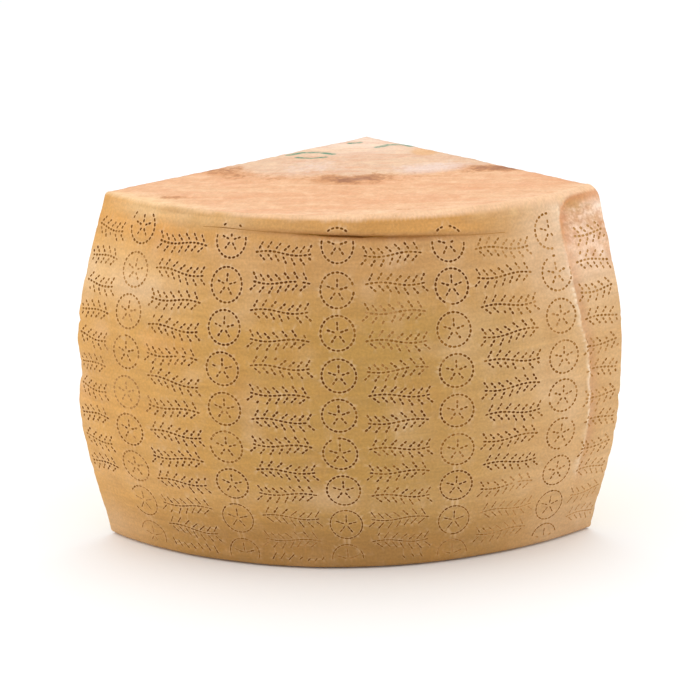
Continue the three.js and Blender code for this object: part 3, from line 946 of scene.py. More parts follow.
corner_top = top_surface(corner[None, :])
left_top = cut_top_line(left_ray, left_inward, left_edge[0], seed=44)
right_top = cut_top_line(right_ray, right_inward, right_edge[-1], seed=46)
rim_from_left = np.concatenate([left_edge[:1], rim_edge[::-1], right_edge[-1:]])
top_outline = np.concatenate([corner_top, left_top, rim_from_left, right_top[::-1]])
stroke_points = scatter(*INK_FIELD, INK_SPACING, seed=9)
stroke_gap = np.min([stroke_distance(stroke_points, stroke) for stroke, _ in INK_STROKES], axis=0)
stroke_points = stroke_points[stroke_gap < INK_REACH]
top_loose = scatter(*TOP_FIELD, TOP_SPACING, seed=13)
top_points = np.concatenate([stroke_points, top_loose[clear_of(top_loose, stroke_points, INK_GAP)]])
away = top_points - corner
rim_angles = np.degrees(np.arctan2(rim_from_left[:, 0] - corner[0], corner[1] - rim_from_left[:, 1]))
rim_reach = np.linalg.norm(rim_from_left[:, :2] - corner, axis=1)
angles = np.degrees(np.arctan2(away[:, 0], -away[:, 1]))
room = np.interp(angles, rim_angles, rim_reach) - np.linalg.norm(away, axis=1)
top_points = top_points[(room > TOP_RIM_CLEAR) & (from_cuts(top_points) > TOP_CUT_CLEAR)]
top_flat, top_triangles, top_source = filled(top_outline[:, :2], top_points)
top_points_3d = top_surface(top_flat)
pin_outline(top_points_3d, top_source, top_outline)
print("the top has", len(top_triangles), "triangles")

# %% [markdown]
# Hard grainy cheese is not sliced but split: the paste breaks along its grains, in shallow bowls with
# crisp ridges between them, as stone does. Its relief is the sum of broad lumps, bowls of two sizes and
# fine grains, all in millimetres inwards.

# %% Relief of the broken paste
CRAG_DEPTH = 7.5
CRAG_LUMP = 44.0
CRAG_LUMP_SHARE = 0.35
CRAG_BOWL = 24.0
CRAG_BEND = (4.0, 12.0)  # how far the ridges wander, and over which length
BOWL_FLOORS = (0.4, 1.0)  # the least and greatest depth of a bowl's lowest point
BOWL_STEEPNESS = 1.15
CHIP_DEPTH = 3.2
CHIP_BOWL = 10.0
GRAIN_DEPTHS = (0.9, 0.6)
GRAIN_SIZES = (5.2, 2.7)
SEED_STEPS = {"crag bend": 1, "crag": 3, "chip bend": 6, "chip": 8, "grain": 12}


def bowls(along, height, size, seed):
    """From 0 on a ridge to 1: each lattice square holds a bowl's lowest point, at a random place and depth,
    the bowl rises from there with the square of the distance, and the deepest bowl near by counts."""
    column, row = np.floor(along / size), np.floor(height / size)
    deepest = np.zeros(np.shape(along))
    shallow, deep = BOWL_FLOORS
    for beside in (-1, 0, 1):
        for above in (-1, 0, 1):
            square = (column + beside, row + above)
            away_along = along / size - square[0] - chance(*square, seed)
            away_up = height / size - square[1] - chance(*square, seed + 1)
            floor_here = shallow + (deep - shallow) * chance(*square, seed + 2)
            deepest = np.maximum(deepest, floor_here - BOWL_STEEPNESS * (away_along**2 + away_up**2))
    return deepest


def bent(along, height, seed):
    """The same places moved by soft lumps, so that ridges between bowls do not run straight."""
    reach, size = CRAG_BEND
    moved = [reach * lumps(along, height, size, seed + number) for number in range(2)]
    return along + moved[0], height + moved[1]


def crags(along, height, seed):
    """Broad lumps and, twice as strong, large bowls."""
    broad = 0.5 + 0.5 * lumps(along, height, CRAG_LUMP, seed)
    places = bent(along, height, seed + SEED_STEPS["crag bend"])
    hollows = bowls(*places, CRAG_BOWL, seed + SEED_STEPS["crag"])
    return CRAG_DEPTH * (CRAG_LUMP_SHARE * broad + (1 - CRAG_LUMP_SHARE) * hollows)


def chips(along, height, seed):
    """Small bowls inside the large ones."""
    places = bent(along, height, seed + SEED_STEPS["chip bend"])
    return CHIP_DEPTH * bowls(*places, CHIP_BOWL, seed + SEED_STEPS["chip"])


def grains(along, height, seed):
    """Finer lumps of two sizes, which only go inwards."""
    deep = 0
    for number, (depth_here, size) in enumerate(zip(GRAIN_DEPTHS, GRAIN_SIZES)):
        lumpy = lumps(along, height, size, seed + SEED_STEPS["grain"] + number)
        deep = deep + depth_here * (0.5 + 0.5 * lumpy)
    return deep


trial = np.meshgrid(np.linspace(0, HEIGHT), np.linspace(0, HEIGHT))
print("the deepest crag is", round(float(crags(*trial, seed=11).max()), 1), "mm deep")

# %% [markdown]
# Each cut is a net with points every 2 mm, carried inwards by that relief, which fades towards the
# edges. Its outline is taken from the rind, from the top and from the upright edge where the cuts meet.

# %% The two cuts
CRAG_MIDDLE = 0.3  # this share of the crags' depth lies outside the plane of the cut
CRAG_FADE = 7.0
FINE_MIDDLE = 1.8  # and this much of the chips and grains
FINE_FADE = 3.5
CUT_SPACING = 1.95
CUT_FIELD_FROM = (1.5, 1.2)  # along the cut and up
CUT_CLEAR_OF = (1.2, 1.3, 1.0, 1.6)  # from the upright edge, the rind, the foot and the top
RIND_INSET_FADE = 5
SUNK_SHARES = (0.8, 0.7, 0.5)  # how much grains, chips and crags count for the painted shade and highlight of the paste
UPRIGHT_CHIP = 1.1
UPRIGHT_CRUMBS = (6, 71)  # size and seed
UPRIGHT_LEAST = 0.3
CHIPS_FADE = 12.0  # towards both ends of the upright edge
CORNER_SLOPES = (-0.5, 0.85)  # the least and greatest depth near the upright edge, for each mm from it
FOOT_STEP = 6

upright_heights = np.arange(0, corner_top[0, 2] - 1, EDGE_STEP)[1:]
upright_crumbs = np.abs(lumps_along(upright_heights, *UPRIGHT_CRUMBS))
upright_chips = UPRIGHT_CHIP * (UPRIGHT_LEAST + (1 - UPRIGHT_LEAST) * upright_crumbs)
upright_chips *= ease(0, CHIPS_FADE, upright_heights) * ease(0, CHIPS_FADE, HEIGHT - upright_heights)
upright = np.column_stack([
    np.full(len(upright_heights), CUT_MEET_X),
    CUT_MEET_Y - upright_chips,
    upright_heights,
])
foot = np.array([[CUT_MEET_X, CUT_MEET_Y, 0.0]])


def foot_line(direction, end):
    """Points of a lower cut edge, from the corner to just short of the heel."""
    far = (end[:2] - corner) @ direction
    along = np.linspace(0, far, int(far / FOOT_STEP))[1:-1]
    flat = corner + along[:, None] * direction
    return np.column_stack([flat, np.zeros(len(flat))])


def cut_patch(direction, inward, rind_edge, top_edge, foot_edge, seed):
    """One cut: rind_edge runs from the heel up to the rim, top_edge and foot_edge from the corner out."""
    outline = np.concatenate([foot, foot_edge, rind_edge, top_edge[::-1], corner_top, upright[::-1]])
    flat_outline = np.column_stack([(outline[:, :2] - corner) @ direction, outline[:, 2]])
    flat_outline[-len(upright):, 0] = 0.0
    edge_along = (rind_edge[:, :2] - corner) @ direction
    inner = scatter(CUT_FIELD_FROM, (edge_along.max(), HEIGHT - CUT_FIELD_FROM[1]), CUT_SPACING, seed)
    to_rind = np.interp(inner[:, 1], rind_edge[:, 2], edge_along) - inner[:, 0]
    room = (inner[:, 0], to_rind, inner[:, 1], HEIGHT - inner[:, 1])
    inner = inner[np.all([there > least for there, least in zip(room, CUT_CLEAR_OF)], axis=0)]
    flat, triangles, source = filled(flat_outline, inner)
    along, height = flat[:, 0], flat[:, 1]
    to_rind = np.interp(height, rind_edge[:, 2], edge_along) - along
    to_edge = np.minimum(np.minimum(along, to_rind), np.minimum(height, HEIGHT - height))
    rind_inset = np.interp(height, rind_edge[:, 2], (rind_edge[:, :2] - corner) @ inward)
    grainy = grains(along, height, seed)
    chipped = chips(along, height, seed)
    broad = crags(along, height, seed)
    depth_here = (broad - CRAG_MIDDLE * CRAG_DEPTH) * ease(0, CRAG_FADE, to_edge)
    depth_here += (grainy + chipped - FINE_MIDDLE) * ease(0, FINE_FADE, to_edge)
    depth_here = np.clip(depth_here, CORNER_SLOPES[0] * along, CORNER_SLOPES[1] * along)
    reliefs = (grainy / sum(GRAIN_DEPTHS), chipped / CHIP_DEPTH, broad / CRAG_DEPTH)
    sunk = sum(share * (relief - 0.5) for share, relief in zip(SUNK_SHARES, reliefs))
    depth_here = depth_here + rind_inset * (1 - ease(0, RIND_INSET_FADE, to_rind))
    level = corner + along[:, None] * direction + depth_here[:, None] * inward
    points_3d = np.column_stack([level, height])
    pin_outline(points_3d, source, outline)
    return points_3d, triangles, to_rind, sunk


left_foot = foot_line(left_ray, left_edge[-1])
right_foot = foot_line(right_ray, right_edge[0])
left_cut = cut_patch(left_ray, left_inward, left_edge[::-1], left_top, left_foot, seed=11)
right_cut = cut_patch(right_ray, right_inward, right_edge, right_top, right_foot, seed=21)
print("the cuts have", len(left_cut[1]), "and", len(right_cut[1]), "triangles")

# %% [markdown]
# The bottom is quite flat, because the quarter stands on it, so a few large triangles are enough.

# %% Bottom
BOTTOM_FIELD = ((-140, -195), (140, -12))
BOTTOM_SPACING = 14.0
BOTTOM_HEEL_CLEAR = 6
BOTTOM_CUT_CLEAR = 4
heel_from_left = np.concatenate([left_edge[-1:], heel_edge, right_edge[:1]])
bottom_outline = np.concatenate([foot, left_foot, heel_from_left, right_foot[::-1]])
bottom_inner = scatter(*BOTTOM_FIELD, BOTTOM_SPACING, seed=17)
bottom_reach = BARREL_RADII[0] - HEEL_ROUND - BOTTOM_HEEL_CLEAR
bottom_clear = (np.linalg.norm(bottom_inner - corner, axis=1) < bottom_reach)
bottom_clear &= from_cuts(bottom_inner) > BOTTOM_CUT_CLEAR
bottom_flat, bottom_triangles, _ = filled(bottom_outline[:, :2], bottom_inner[bottom_clear])
bottom_points_3d = np.column_stack([bottom_flat, np.zeros(len(bottom_flat))])
print("the bottom has", len(bottom_triangles), "triangles")

# %% [markdown]
# Now the five nets are joined: their points are put into the part's own frame, and points at one place
# become one. Each edge must then belong to exactly two triangles, or the skin would have a hole.

# %% One closed mesh
EDGE_SAMPLES = 400
WELD_DIGITS = 3  # points within a thousandth of a millimetre are one

edge_rises = np.linspace(0, HEIGHT, EDGE_SAMPLES)
edge_x = [rind_surface(level_line(edge_rises, edge)[:, ::-1])[:, 0] for edge in (LEFT_EDGE, RIGHT_EDGE)]
shift = np.array([
    (node_low.x + node_high.x) / 2 - (np.min(edge_x) + np.max(edge_x)) / 2,
    node_high.y - CUT_MEET_Y,
    node_low.z,
])
patches = {
    "rind": (rind_points_3d, rind_triangles),
    "top": (top_points_3d, top_triangles),
    "left": (left_cut[0], left_cut[1]),
    "right": (right_cut[0], right_cut[1][:, ::-1]),
    "bottom": (bottom_points_3d, bottom_triangles[:, ::-1]),
}
first_point = np.cumsum([0] + [len(points) for points, _ in patches.values()])
all_points = np.concatenate([points for points, _ in patches.values()])
all_triangles = np.concatenate([
    triangles + first for (_, triangles), first in zip(patches.values(), first_point)])
patch_of = np.repeat(np.arange(len(patches)), [len(triangles) for _, triangles in patches.values()])
_, first_of, welded = np.unique(
    np.round(all_points, WELD_DIGITS), axis=0, return_index=True, return_inverse=True)
places = (all_points[first_of] + shift) * MM
triangles = welded.reshape(-1)[all_triangles]
whole = (triangles != np.roll(triangles, 1, axis=1)).all(axis=1)
print("shift to the part's frame", np.round(shift, 3), "flat triangles dropped", int((~whole).sum()))
triangles, all_triangles, patch_of = triangles[whole], all_triangles[whole], patch_of[whole]

edges = np.concatenate([triangles[:, [0, 1]], triangles[:, [1, 2]], triangles[:, [2, 0]]])
code = edges[:, 0].astype(np.int64) * len(places) + edges[:, 1]
back = edges[:, 1].astype(np.int64) * len(places) + edges[:, 0]
print("triangles", len(triangles), "open edges", int((~np.isin(code, back)).sum()),
      "doubled edges", len(code) - len(np.unique(code)))

# %% [markdown]
# Each triangle of the rind is plain ground, a bar's wall, a bar's floor or part of the slit. Bars get one
# of five shades, by how deep they were pressed. The slit gets the darker four as painted shade in the
# crease, darkest where it gapes, and all else gets its patch's finish.

# %% Which finish each triangle gets
bar_count = len(bars)
GROUND, BAR_WALL, BAR_FLOOR, SLIT = range(4)
below = [rind_owner == 0, rind_owner <= bar_count, rind_owner <= 2 * bar_count]
rind_kind = np.select(below, [GROUND, BAR_WALL, BAR_FLOOR], SLIT)
in_bar = [rind_kind == BAR_WALL, rind_kind == BAR_FLOOR]
rind_bar = np.select(in_bar, [rind_owner - 1, rind_owner - 1 - bar_count], -1)
owner_all = np.full(int(whole.size), -1)
owner_all[:len(rind_bar)] = rind_bar
kind_all = np.full(int(whole.size), GROUND)
kind_all[:len(rind_kind)] = rind_kind
bar_of, kind = owner_all[whole], kind_all[whole]

RIND, TOP, PASTE, FIRST_SHADE = range(4)
SHADE_LIMITS = (0.84, 0.7, 0.54, 0.4)  # how deep a mark is pressed, from the darkest shade to the next
SLIT_SHADE_STRENGTH = (0.42, 0.55)  # the least, and how much more where the slit gapes
SLIT_LEFT_SHADE = 0.6
slot_of = np.array([RIND, TOP, PASTE, PASTE, TOP])[patch_of]
bar_press = np.where(bar_of >= 0, pressed[np.maximum(bar_of, 0)], 0)
middle = all_points[all_triangles].mean(axis=1)
# the slit's colour is painted shade in the crease, darker where it gapes
slit_shade_strength = SLIT_SHADE_STRENGTH[0] + SLIT_SHADE_STRENGTH[1] * slit_opening(wheel_degrees(*middle.T), SLIT_LEFT_SHADE)
press = np.where(kind == SLIT, slit_shade_strength, bar_press)
shade = FIRST_SHADE + sum(press < limit for limit in SHADE_LIMITS)
slot_of = np.where(kind == GROUND, slot_of, shade)
print("triangles of each finish:", np.bincount(slot_of).tolist())

# %% [markdown]
# The mesh gets its smooth shading, but three kinds of edge stay sharp, as they are on the real thing:
# the cut edges, the heel's foot, and the outlines of the pressed bars. An edge is sharp where the two
# triangles beside it belong to different patches, or where one is in a bar and the other is not.

# %% The cheese as one object
mesh = bpy.data.meshes.new("cheese")
mesh.vertices.add(len(places))
mesh.vertices.foreach_set("co", places.ravel())
mesh.loops.add(triangles.size)
mesh.loops.foreach_set("vertex_index", triangles.ravel())
mesh.polygons.add(len(triangles))
mesh.polygons.foreach_set("loop_start", np.arange(0, triangles.size, 3))
mesh.update(calc_edges=True)
mesh.shade_smooth()

BAR_GROUP, SLIT_GROUP = 5, 6
patch_group = np.array([0, 0, 2, 3, 4])  # the rim is round, so rind and top shade as one
group = np.where(kind == GROUND, patch_group[patch_of], np.where(kind == SLIT, SLIT_GROUP, BAR_GROUP))
edge_of_corner = np.empty(len(mesh.loops), np.int32)
mesh.loops.foreach_get("edge_index", edge_of_corner)
group_of_corner = np.repeat(group, 3)
low_group = np.full(len(mesh.edges), SLIT_GROUP + 1)
high_group = np.full(len(mesh.edges), -1)
np.minimum.at(low_group, edge_of_corner, group_of_corner)
np.maximum.at(high_group, edge_of_corner, group_of_corner)
sharp = mesh.attributes.new("sharp_edge", "BOOLEAN", "EDGE")
sharp.data.foreach_set("value", low_group != high_group)
cheese = bpy.data.objects.new("cheese_skin", mesh)
bpy.context.scene.collection.objects.link(cheese)
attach(cheese, "root")
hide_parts(NODE)
print("the cheese has", len(mesh.polygons), "triangles,", int((low_group != high_group).sum()), "sharp edges")

# %% [markdown]
# A pattern that follows the rind needs a flat map of it, here one unit for each metre. A second map
# lays the five patches side by side in a unit square, with the rind and the top largest, for anyone who
# wants to bake the colours into a picture.

# %% Flat maps
BAKE_MARGIN = 0.004
BAKE_PLACES = {  # left, low and width in the unit square, for each patch
    "rind": (0.0, 0.0, 0.66),
    "top": (0.0, 0.41, 0.66),
    "left": (0.67, 0.0, 0.33),
    "right": (0.67, 0.33, 0.33),
    "bottom": (0.67, 0.66, 0.33),
}


def on_cut(points, direction):
    """The flat view of a cut: along it from the corner, and up."""
    return np.column_stack([(points[:, :2] - corner) @ direction, points[:, 2]])


flat_views = {
    "rind": rind_flat,
    "top": top_points_3d[:, :2],
    "left": on_cut(left_cut[0], left_ray),
    "right": on_cut(right_cut[0], right_ray),
    "bottom": bottom_points_3d[:, :2],
}
bake_views = []
for name, flat in flat_views.items():
    left, low, width = BAKE_PLACES[name]
    span = flat.max(axis=0) - flat.min(axis=0)
    scale = (width - 2 * BAKE_MARGIN) / span[0]
    bake_views.append((flat - flat.min(axis=0)) * scale + (left + BAKE_MARGIN, low + BAKE_MARGIN))
    print(name, "fills", np.round(span * scale, 3))
bake_flat = np.concatenate(bake_views)[all_triangles]
sheet_flat = np.zeros((len(all_points), 2))
sheet_flat[:len(rind_flat)] = rind_flat * MM
sheet_flat = sheet_flat[all_triangles]
sheet = mesh.uv_layers.new(name="rind_sheet")
sheet.data.foreach_set("uv", sheet_flat.reshape(-1))
bake = mesh.uv_layers.new(name="OFBake")
bake.data.foreach_set("uv", bake_flat.reshape(-1))

# %% [markdown]
# The broad colours are worked out at the points, because they follow the form. A colour all over comes
# first, and then each rule mixes a named colour in, by its strength times how much it is there. Where
# a colour sets in is a pair of numbers: from and to for a soft step, or a middle and half a width for a
# soft bump. Angles on the wheel are in degrees, and all lengths and heights in millimetres.

# %% Mixing colours in
def linear(hex_colour):
    """A colour written as sRGB hex, in the linear values that the renderer works in."""
    value = np.array([int(hex_colour[start:start + 2], 16) for start in (1, 3, 5)]) / 255
    return np.where(value <= 0.04045, value / 12.92, ((value + 0.055) / 1.055) ** 2.4)


def painted(base, points, rules):
    """One colour all over, and then each rule's colour mixed in. A rule is a colour, a strength and where."""
    colour = np.tile(linear(base), (len(points), 1))
    for tint, strength, there in rules:
        colour = colour + (linear(tint) - colour) * np.clip(strength * there, 0, 1)[:, None]
    return colour


def spot(points, x, y, half, flatter):
    """A soft round spot with its middle at (x, y), pressed flat along y."""
    return swell(0, half, np.hypot(points[:, 0] - x, (points[:, 1] - y) * flatter))


print("middle grey in linear values:", np.round(linear("#808080"), 3))

# %% [markdown]
# In the hollow fresher rind lies bare. It is pink, with pale and brown blotches, shaded under its wall.

# %% Colours of the hollow
SCOOP_PINK = "#E2B793"
SCOOP_PALE = "#F6DAC4"
SCOOP_SPOT_AND_SHADE = "#C4855C"
SCOOP_GOLD = "#C8964F"
SCOOP_SHADE = "#D9965F"
BLOTCHY = ((0.7, 7, 84), (0.6, 3.3, 87))
SCOOP_RADIUS = 205
SCOOP_FROM = (-0.8, 0.8)
SCOOP_TO = (22, 52)
WALL_TO = (1, 8)
WALL_DOWN = (10, 34)
WALL_ALONG = (14, 34)
WALL_ALONG_LOSS = 0.4
WALL_PALE_LOSS = 0.8
WALL_SHADE = (0.85, 0.25)  # its strength, and how much blotches change it
FOOT_TO = (1, 5.5)  # of the wall
FOOT_DOWN = (12, 30)
SPOT_LEAST = 0.1
GOLD_PLACE = ((13, 10), (6, 6))


def scoop_rules(degrees, z, across):
    """The hollow: pink, with pale and brown blotches, shaded under its wall and golden in one place."""
    beside, below, within = scoop_places(degrees, z, SCOOP_RADIUS)
    there = ease(*SCOOP_FROM, within) * (1 - ease(*SCOOP_TO, below))
    wall = (1 - ease(*WALL_TO, within)) * (1 - ease(*WALL_DOWN, below))
    wall = wall * (1 - WALL_ALONG_LOSS * ease(*WALL_ALONG, beside))
    wall_foot = (1 - ease(*FOOT_TO, within)) * (1 - ease(*FOOT_DOWN, below))
    blotch = waves(across, z, BLOTCHY)
    return [
        (SCOOP_PINK, 0.9, there),
        (SCOOP_PALE, 0.95, there * np.maximum(blotch, 0) * (1 - WALL_PALE_LOSS * wall)),
        (SCOOP_SPOT_AND_SHADE, 0.9, there * np.maximum(-blotch - SPOT_LEAST, 0)),
        # painted shade under the hollow's wall, darkest at the wall's foot
        (SCOOP_SHADE, WALL_SHADE[0] + WALL_SHADE[1] * blotch, there * wall),
        (SCOOP_SPOT_AND_SHADE, 0.45, there * wall_foot),
        (SCOOP_GOLD, 0.6, there * swell(*GOLD_PLACE[0], beside) * swell(*GOLD_PLACE[1], below)),
    ]


print("the hollow has", len(scoop_rules(*np.zeros((3, 1)))), "rules")

# %% [markdown]
# The rind is darker at the heel, where painted shade stands in for the light from above, warmer at the
# left cut, flushed towards the right and chalky in patches. Its rim is pale worn rind with a painted
# highlight on it, a painted highlight runs along the step's edge, and painted shade lies in the crease.

# %% Colours of the rind
GOLD = "#B58A45"
SHOULDER = "#BF8F57"
HEEL_SHADE = "#A67A3F"
LEFT_WARM = "#D8A156"
LEFT_ORANGE = "#D69343"
LEFT_PALE = "#E6C18E"
FLUSH = "#CEA470"
FLUSH_PALE = "#E3C1A0"
LIP_GOLD = "#CA9350"
CREASE_SHADE = "#A56C38"
RIM_PALE_AND_HIGHLIGHT = "#E8BD95"
RIM_CRUMB_AND_HIGHLIGHT = "#F0CB95"
FOLD_BROWN = "#A87848"
SEAM_PINK = "#BC8258"
SEAM_HIGHLIGHT = "#F2DABB"
CHALK = "#E4C4A2"
PATCHY, SPOTTY, CHALKY, RAGGED, CRUMBLY = (30, 81), (19, 83), (17, 82), (7, 86), (5, 88)  # sizes and seeds
PATCH_DRIFT = (2, 5, 3)  # how far patches bend the edges of a colour: in degrees, at the heel, at the left
LEFT_DEGREES = (-50, 8)
LEFT_STRENGTH = 0.9
SHOULDER_HEIGHTS = (140, 190)
FLUSH_DEGREES = (8, 44)
HEEL_HEIGHTS = (12, 46)
HEEL_SIDES = (10, 40)
HEEL_SIDE_LOSS = 0.65
CHALK_BAND = (46, 17)
CHALK_FOOT = (8, 34)
CHALK_SIDES = (28, 42)
CHALK_LEAST = 0.3
CHALK_HEIGHTS = (50, 90)
LEFT_BAND = (165, 24)
LEFT_BAND_END = (-32, -16)
LEFT_SPOTS_FROM = (60, 110)
LEFT_SHOULDER = (195, 8)
LEFT_RIM = (206, 8)
LEFT_RIM_FROM = (-46, -37)
LEFT_CHALK = ((-34 * MM_PER_DEGREE, 40), (163, 13))
MIDDLE_CHALK = ((-2 * MM_PER_DEGREE, 24), (48, 12))
FLUSH_PALE_HEIGHTS = (135, 185)
FLUSH_PALE_DEGREES = (24, 40)
SEAM_RADIUS = 217
SEAM_HEIGHTS = (20, 80)
SEAM_END = (204, 208)
SEAM_PINK_FROM = (-0.2, 0.9)
SEAM_PINK_TO = (2, 10)
SEAM_GLOW = (-3.0, 5)
SEAM_GLOW_HEIGHTS = (90, 190)
SEAM_LINE = (-0.6, 1.3)
SEAM_BREAKS = (0.35, 8, 85)  # the strength, size and seed of its breaks
LIP_TURN = (-2, 4)  # from below the crease to above it
CREASE_DARK = (-0.2, 3.0)
RIM_SOFT = (12, 34)  # towards the right the rim is softer and wider
RIM_FOOT = 208.0
RIM_FOOT_FALLS = (0.9, 2.2)  # from the left to the middle, and from there to the right
RIM_FOOT_TURN = (-22, -8)
RIM_EDGE = (1.5, 3)
RIM_RAGGED = 0.6
RIM_CRUMB_END = (-34, -16)
CRUMB_BAND = (206.5, 4)
CRUMB_FROM = (18, 26)
FOLD_HALF = 0.7
FOLD_PLACE = (-29, 10)


def rim_share(degrees, z, across):
    """How much a point belongs to the pale rim, worn rind with a painted highlight. Its lower edge falls
    and softens towards the right.
    """
    soft = ease(*RIM_SOFT, degrees)
    foot_here = RIM_FOOT - RIM_FOOT_FALLS[0] * ease(*RIM_FOOT_TURN, degrees) - RIM_FOOT_FALLS[1] * soft
    return ease(0, RIM_EDGE[0] + RIM_EDGE[1] * soft, z - foot_here + RIM_RAGGED * lumps(across, z, *RAGGED))


def rind_colours(points, flat):
    """From the middle's gold: painted shade at the heel and in the crease, warm at the left, flushed at
    the right, and painted highlights on the pale rim and along the step.
    """
    across, z = flat[:, 0], points[:, 2]
    degrees = wheel_degrees(*points.T)
    sides = np.abs(degrees)
    patchy = lumps(across, z, *PATCHY)
    spotty = np.maximum(lumps(across, z, *SPOTTY), 0)
    chalky = np.maximum(lumps(across, z, *CHALKY) - CHALK_LEAST, 0)
    crumbly = np.maximum(lumps(across, z, *CRUMBLY), 0)
    drifted = degrees + PATCH_DRIFT[0] * patchy
    left = LEFT_STRENGTH * (1 - ease(*LEFT_DEGREES, drifted))
    beside = np.radians(degrees - step_place(z)) * SEAM_RADIUS + seam_wander(z)
    seam = ease(*SEAM_HEIGHTS, z) * (1 - ease(*SEAM_END, z))
    unbroken = 1 - SEAM_BREAKS[0] + SEAM_BREAKS[0] * lumps_along(z, *SEAM_BREAKS[1:])
    heel = 1 - ease(*HEEL_HEIGHTS, z + PATCH_DRIFT[1] * patchy)
    crease = z - crease_height(degrees)
    strength = crease_strength(degrees)
    on_rim = rim_share(degrees, z, across)
    return painted(GOLD, points, [
        (SHOULDER, 1, ease(*SHOULDER_HEIGHTS, z)),
        (LEFT_WARM, 1, left),
        (FLUSH, 1, ease(*FLUSH_DEGREES, drifted)),
        # painted shade towards the heel, less of it at the sides
        (HEEL_SHADE, 1, (1 - HEEL_SIDE_LOSS * ease(*HEEL_SIDES, sides)) * heel),
        (CHALK, 0.08, swell(*CHALK_BAND, z)),
        (CHALK, 0.3, (1 - ease(*CHALK_FOOT, z)) * ease(*CHALK_SIDES, sides)),
        (LEFT_PALE, 0.6,
         left * swell(*LEFT_BAND, z + PATCH_DRIFT[2] * patchy) * (1 - ease(*LEFT_BAND_END, degrees))),
        (LEFT_ORANGE, 1,
         0.6 * spotty * left * ease(*LEFT_SPOTS_FROM, z) + 0.4 * left * swell(*LEFT_SHOULDER, z)),
        (CHALK, 0.35, swell(*LEFT_CHALK[0], across) * swell(*LEFT_CHALK[1], z + PATCH_DRIFT[2] * spotty)),
        (FLUSH_PALE, 0.85, ease(*FLUSH_PALE_HEIGHTS, z) * ease(*FLUSH_PALE_DEGREES, degrees)),
        (SEAM_PINK, 0.55, ease(*SEAM_PINK_FROM, beside) * (1 - ease(*SEAM_PINK_TO, beside)) * seam),
        # painted highlight along the step's raised edge, with a faint painted glow beside it
        (SEAM_HIGHLIGHT, 0.2, swell(*SEAM_GLOW, beside) * ease(*SEAM_GLOW_HEIGHTS, z) * seam),
        (SEAM_HIGHLIGHT, 1, swell(*SEAM_LINE, beside) * seam * unbroken),
        (CHALK, 0.33, chalky * ease(*CHALK_HEIGHTS, z)),
        (CHALK, 0.3, swell(*MIDDLE_CHALK[0], across) * swell(*MIDDLE_CHALK[1], z)),
        (LIP_GOLD, 1, ease(*LIP_TURN, crease) * np.clip(2 * strength, 0, 1)),
        (LEFT_PALE, 0.75, left * swell(*LEFT_RIM, z) * ease(*LEFT_RIM_FROM, degrees)),
        # painted shade in the crease under the overhanging lip
        (CREASE_SHADE, 0.5, swell(*CREASE_DARK, crease) * np.sqrt(strength)),
        # the pale worn rim with a painted highlight, paler still towards the left
        (RIM_PALE_AND_HIGHLIGHT, 0.95, on_rim),
        (RIM_CRUMB_AND_HIGHLIGHT, 0.6, on_rim * (1 - ease(*RIM_CRUMB_END, degrees))),
        (RIM_CRUMB_AND_HIGHLIGHT, 0.9, crumbly * swell(*CRUMB_BAND, z) * ease(*CRUMB_FROM, degrees)),
        (FOLD_BROWN, 0.35, swell(FOLD_HEIGHT, FOLD_HALF, z) * swell(*FOLD_PLACE, degrees)),
        *scoop_rules(degrees, z, across),
    ])


rind_ground = rind_colours(rind_points_3d, rind_flat)
print("mean rind colour", np.round(rind_ground.mean(axis=0), 3))

# %% [markdown]
# The top is peach, and paler inside the ring that a board left on it. Its rim is worn pale as well, with a
# painted highlight. The bottom, which nobody sees, gets the same colours a little darker.

# %% Colours of the top
PEACH = "#E1AD82"
INNER = "#DBB89A"
CORNER_PALE = "#EDD4BF"
ORANGE = "#DBA56C"
STAIN = "#96603F"
STAIN_ORANGE = "#C98A54"
STAIN_RING = (  # degrees, and the radius there
    (-47, 119), (-39, 113), (-27, 117), (-6, 110), (2, 116), (11, 112), (28, 116), (40, 118), (47, 131))
RING_RAGGED = ((3, 22, 91),)
TOP_GRAINY = (0.35, 7, 93)
INNER_EDGE = (-12, 4)
CORNER_REACH = (15, 75)
WARM_MIDDLE = (-3, 14)
WARM_LEFT = (-40, 14)
WARM_LEFT_SHARE = 0.8
WARM_RING = (3, 17, 11)  # its middle, half its width, and how much wider at the middle
ORANGE_PLACE = (43, -46, 0.8)
ORANGE_EDGE = (6, 11)
TOP_RIM_WIDTH = (9, 5)  # at the left, and how much wider elsewhere
TOP_RIM_TURN = (-46, -32)
TOP_RIM_RADIUS = 191
TOP_RIM_OUT = (4, (0, 30))  # it lies further out towards the right
CUT_BROWN_TO = 2.5
BOTTOM_SHADE = 0.85


def ring_distance(points):
    """How far each point of the top lies outside the mark of a board: its radius changes with the angle."""
    x, y = points[:, 0], points[:, 1]
    ring_degrees, ring_reach = zip(*STAIN_RING)
    ring = np.interp(np.degrees(np.arctan2(x, -y)), ring_degrees, ring_reach)
    return np.hypot(x, y) - ring + waves(x, y, RING_RAGGED)


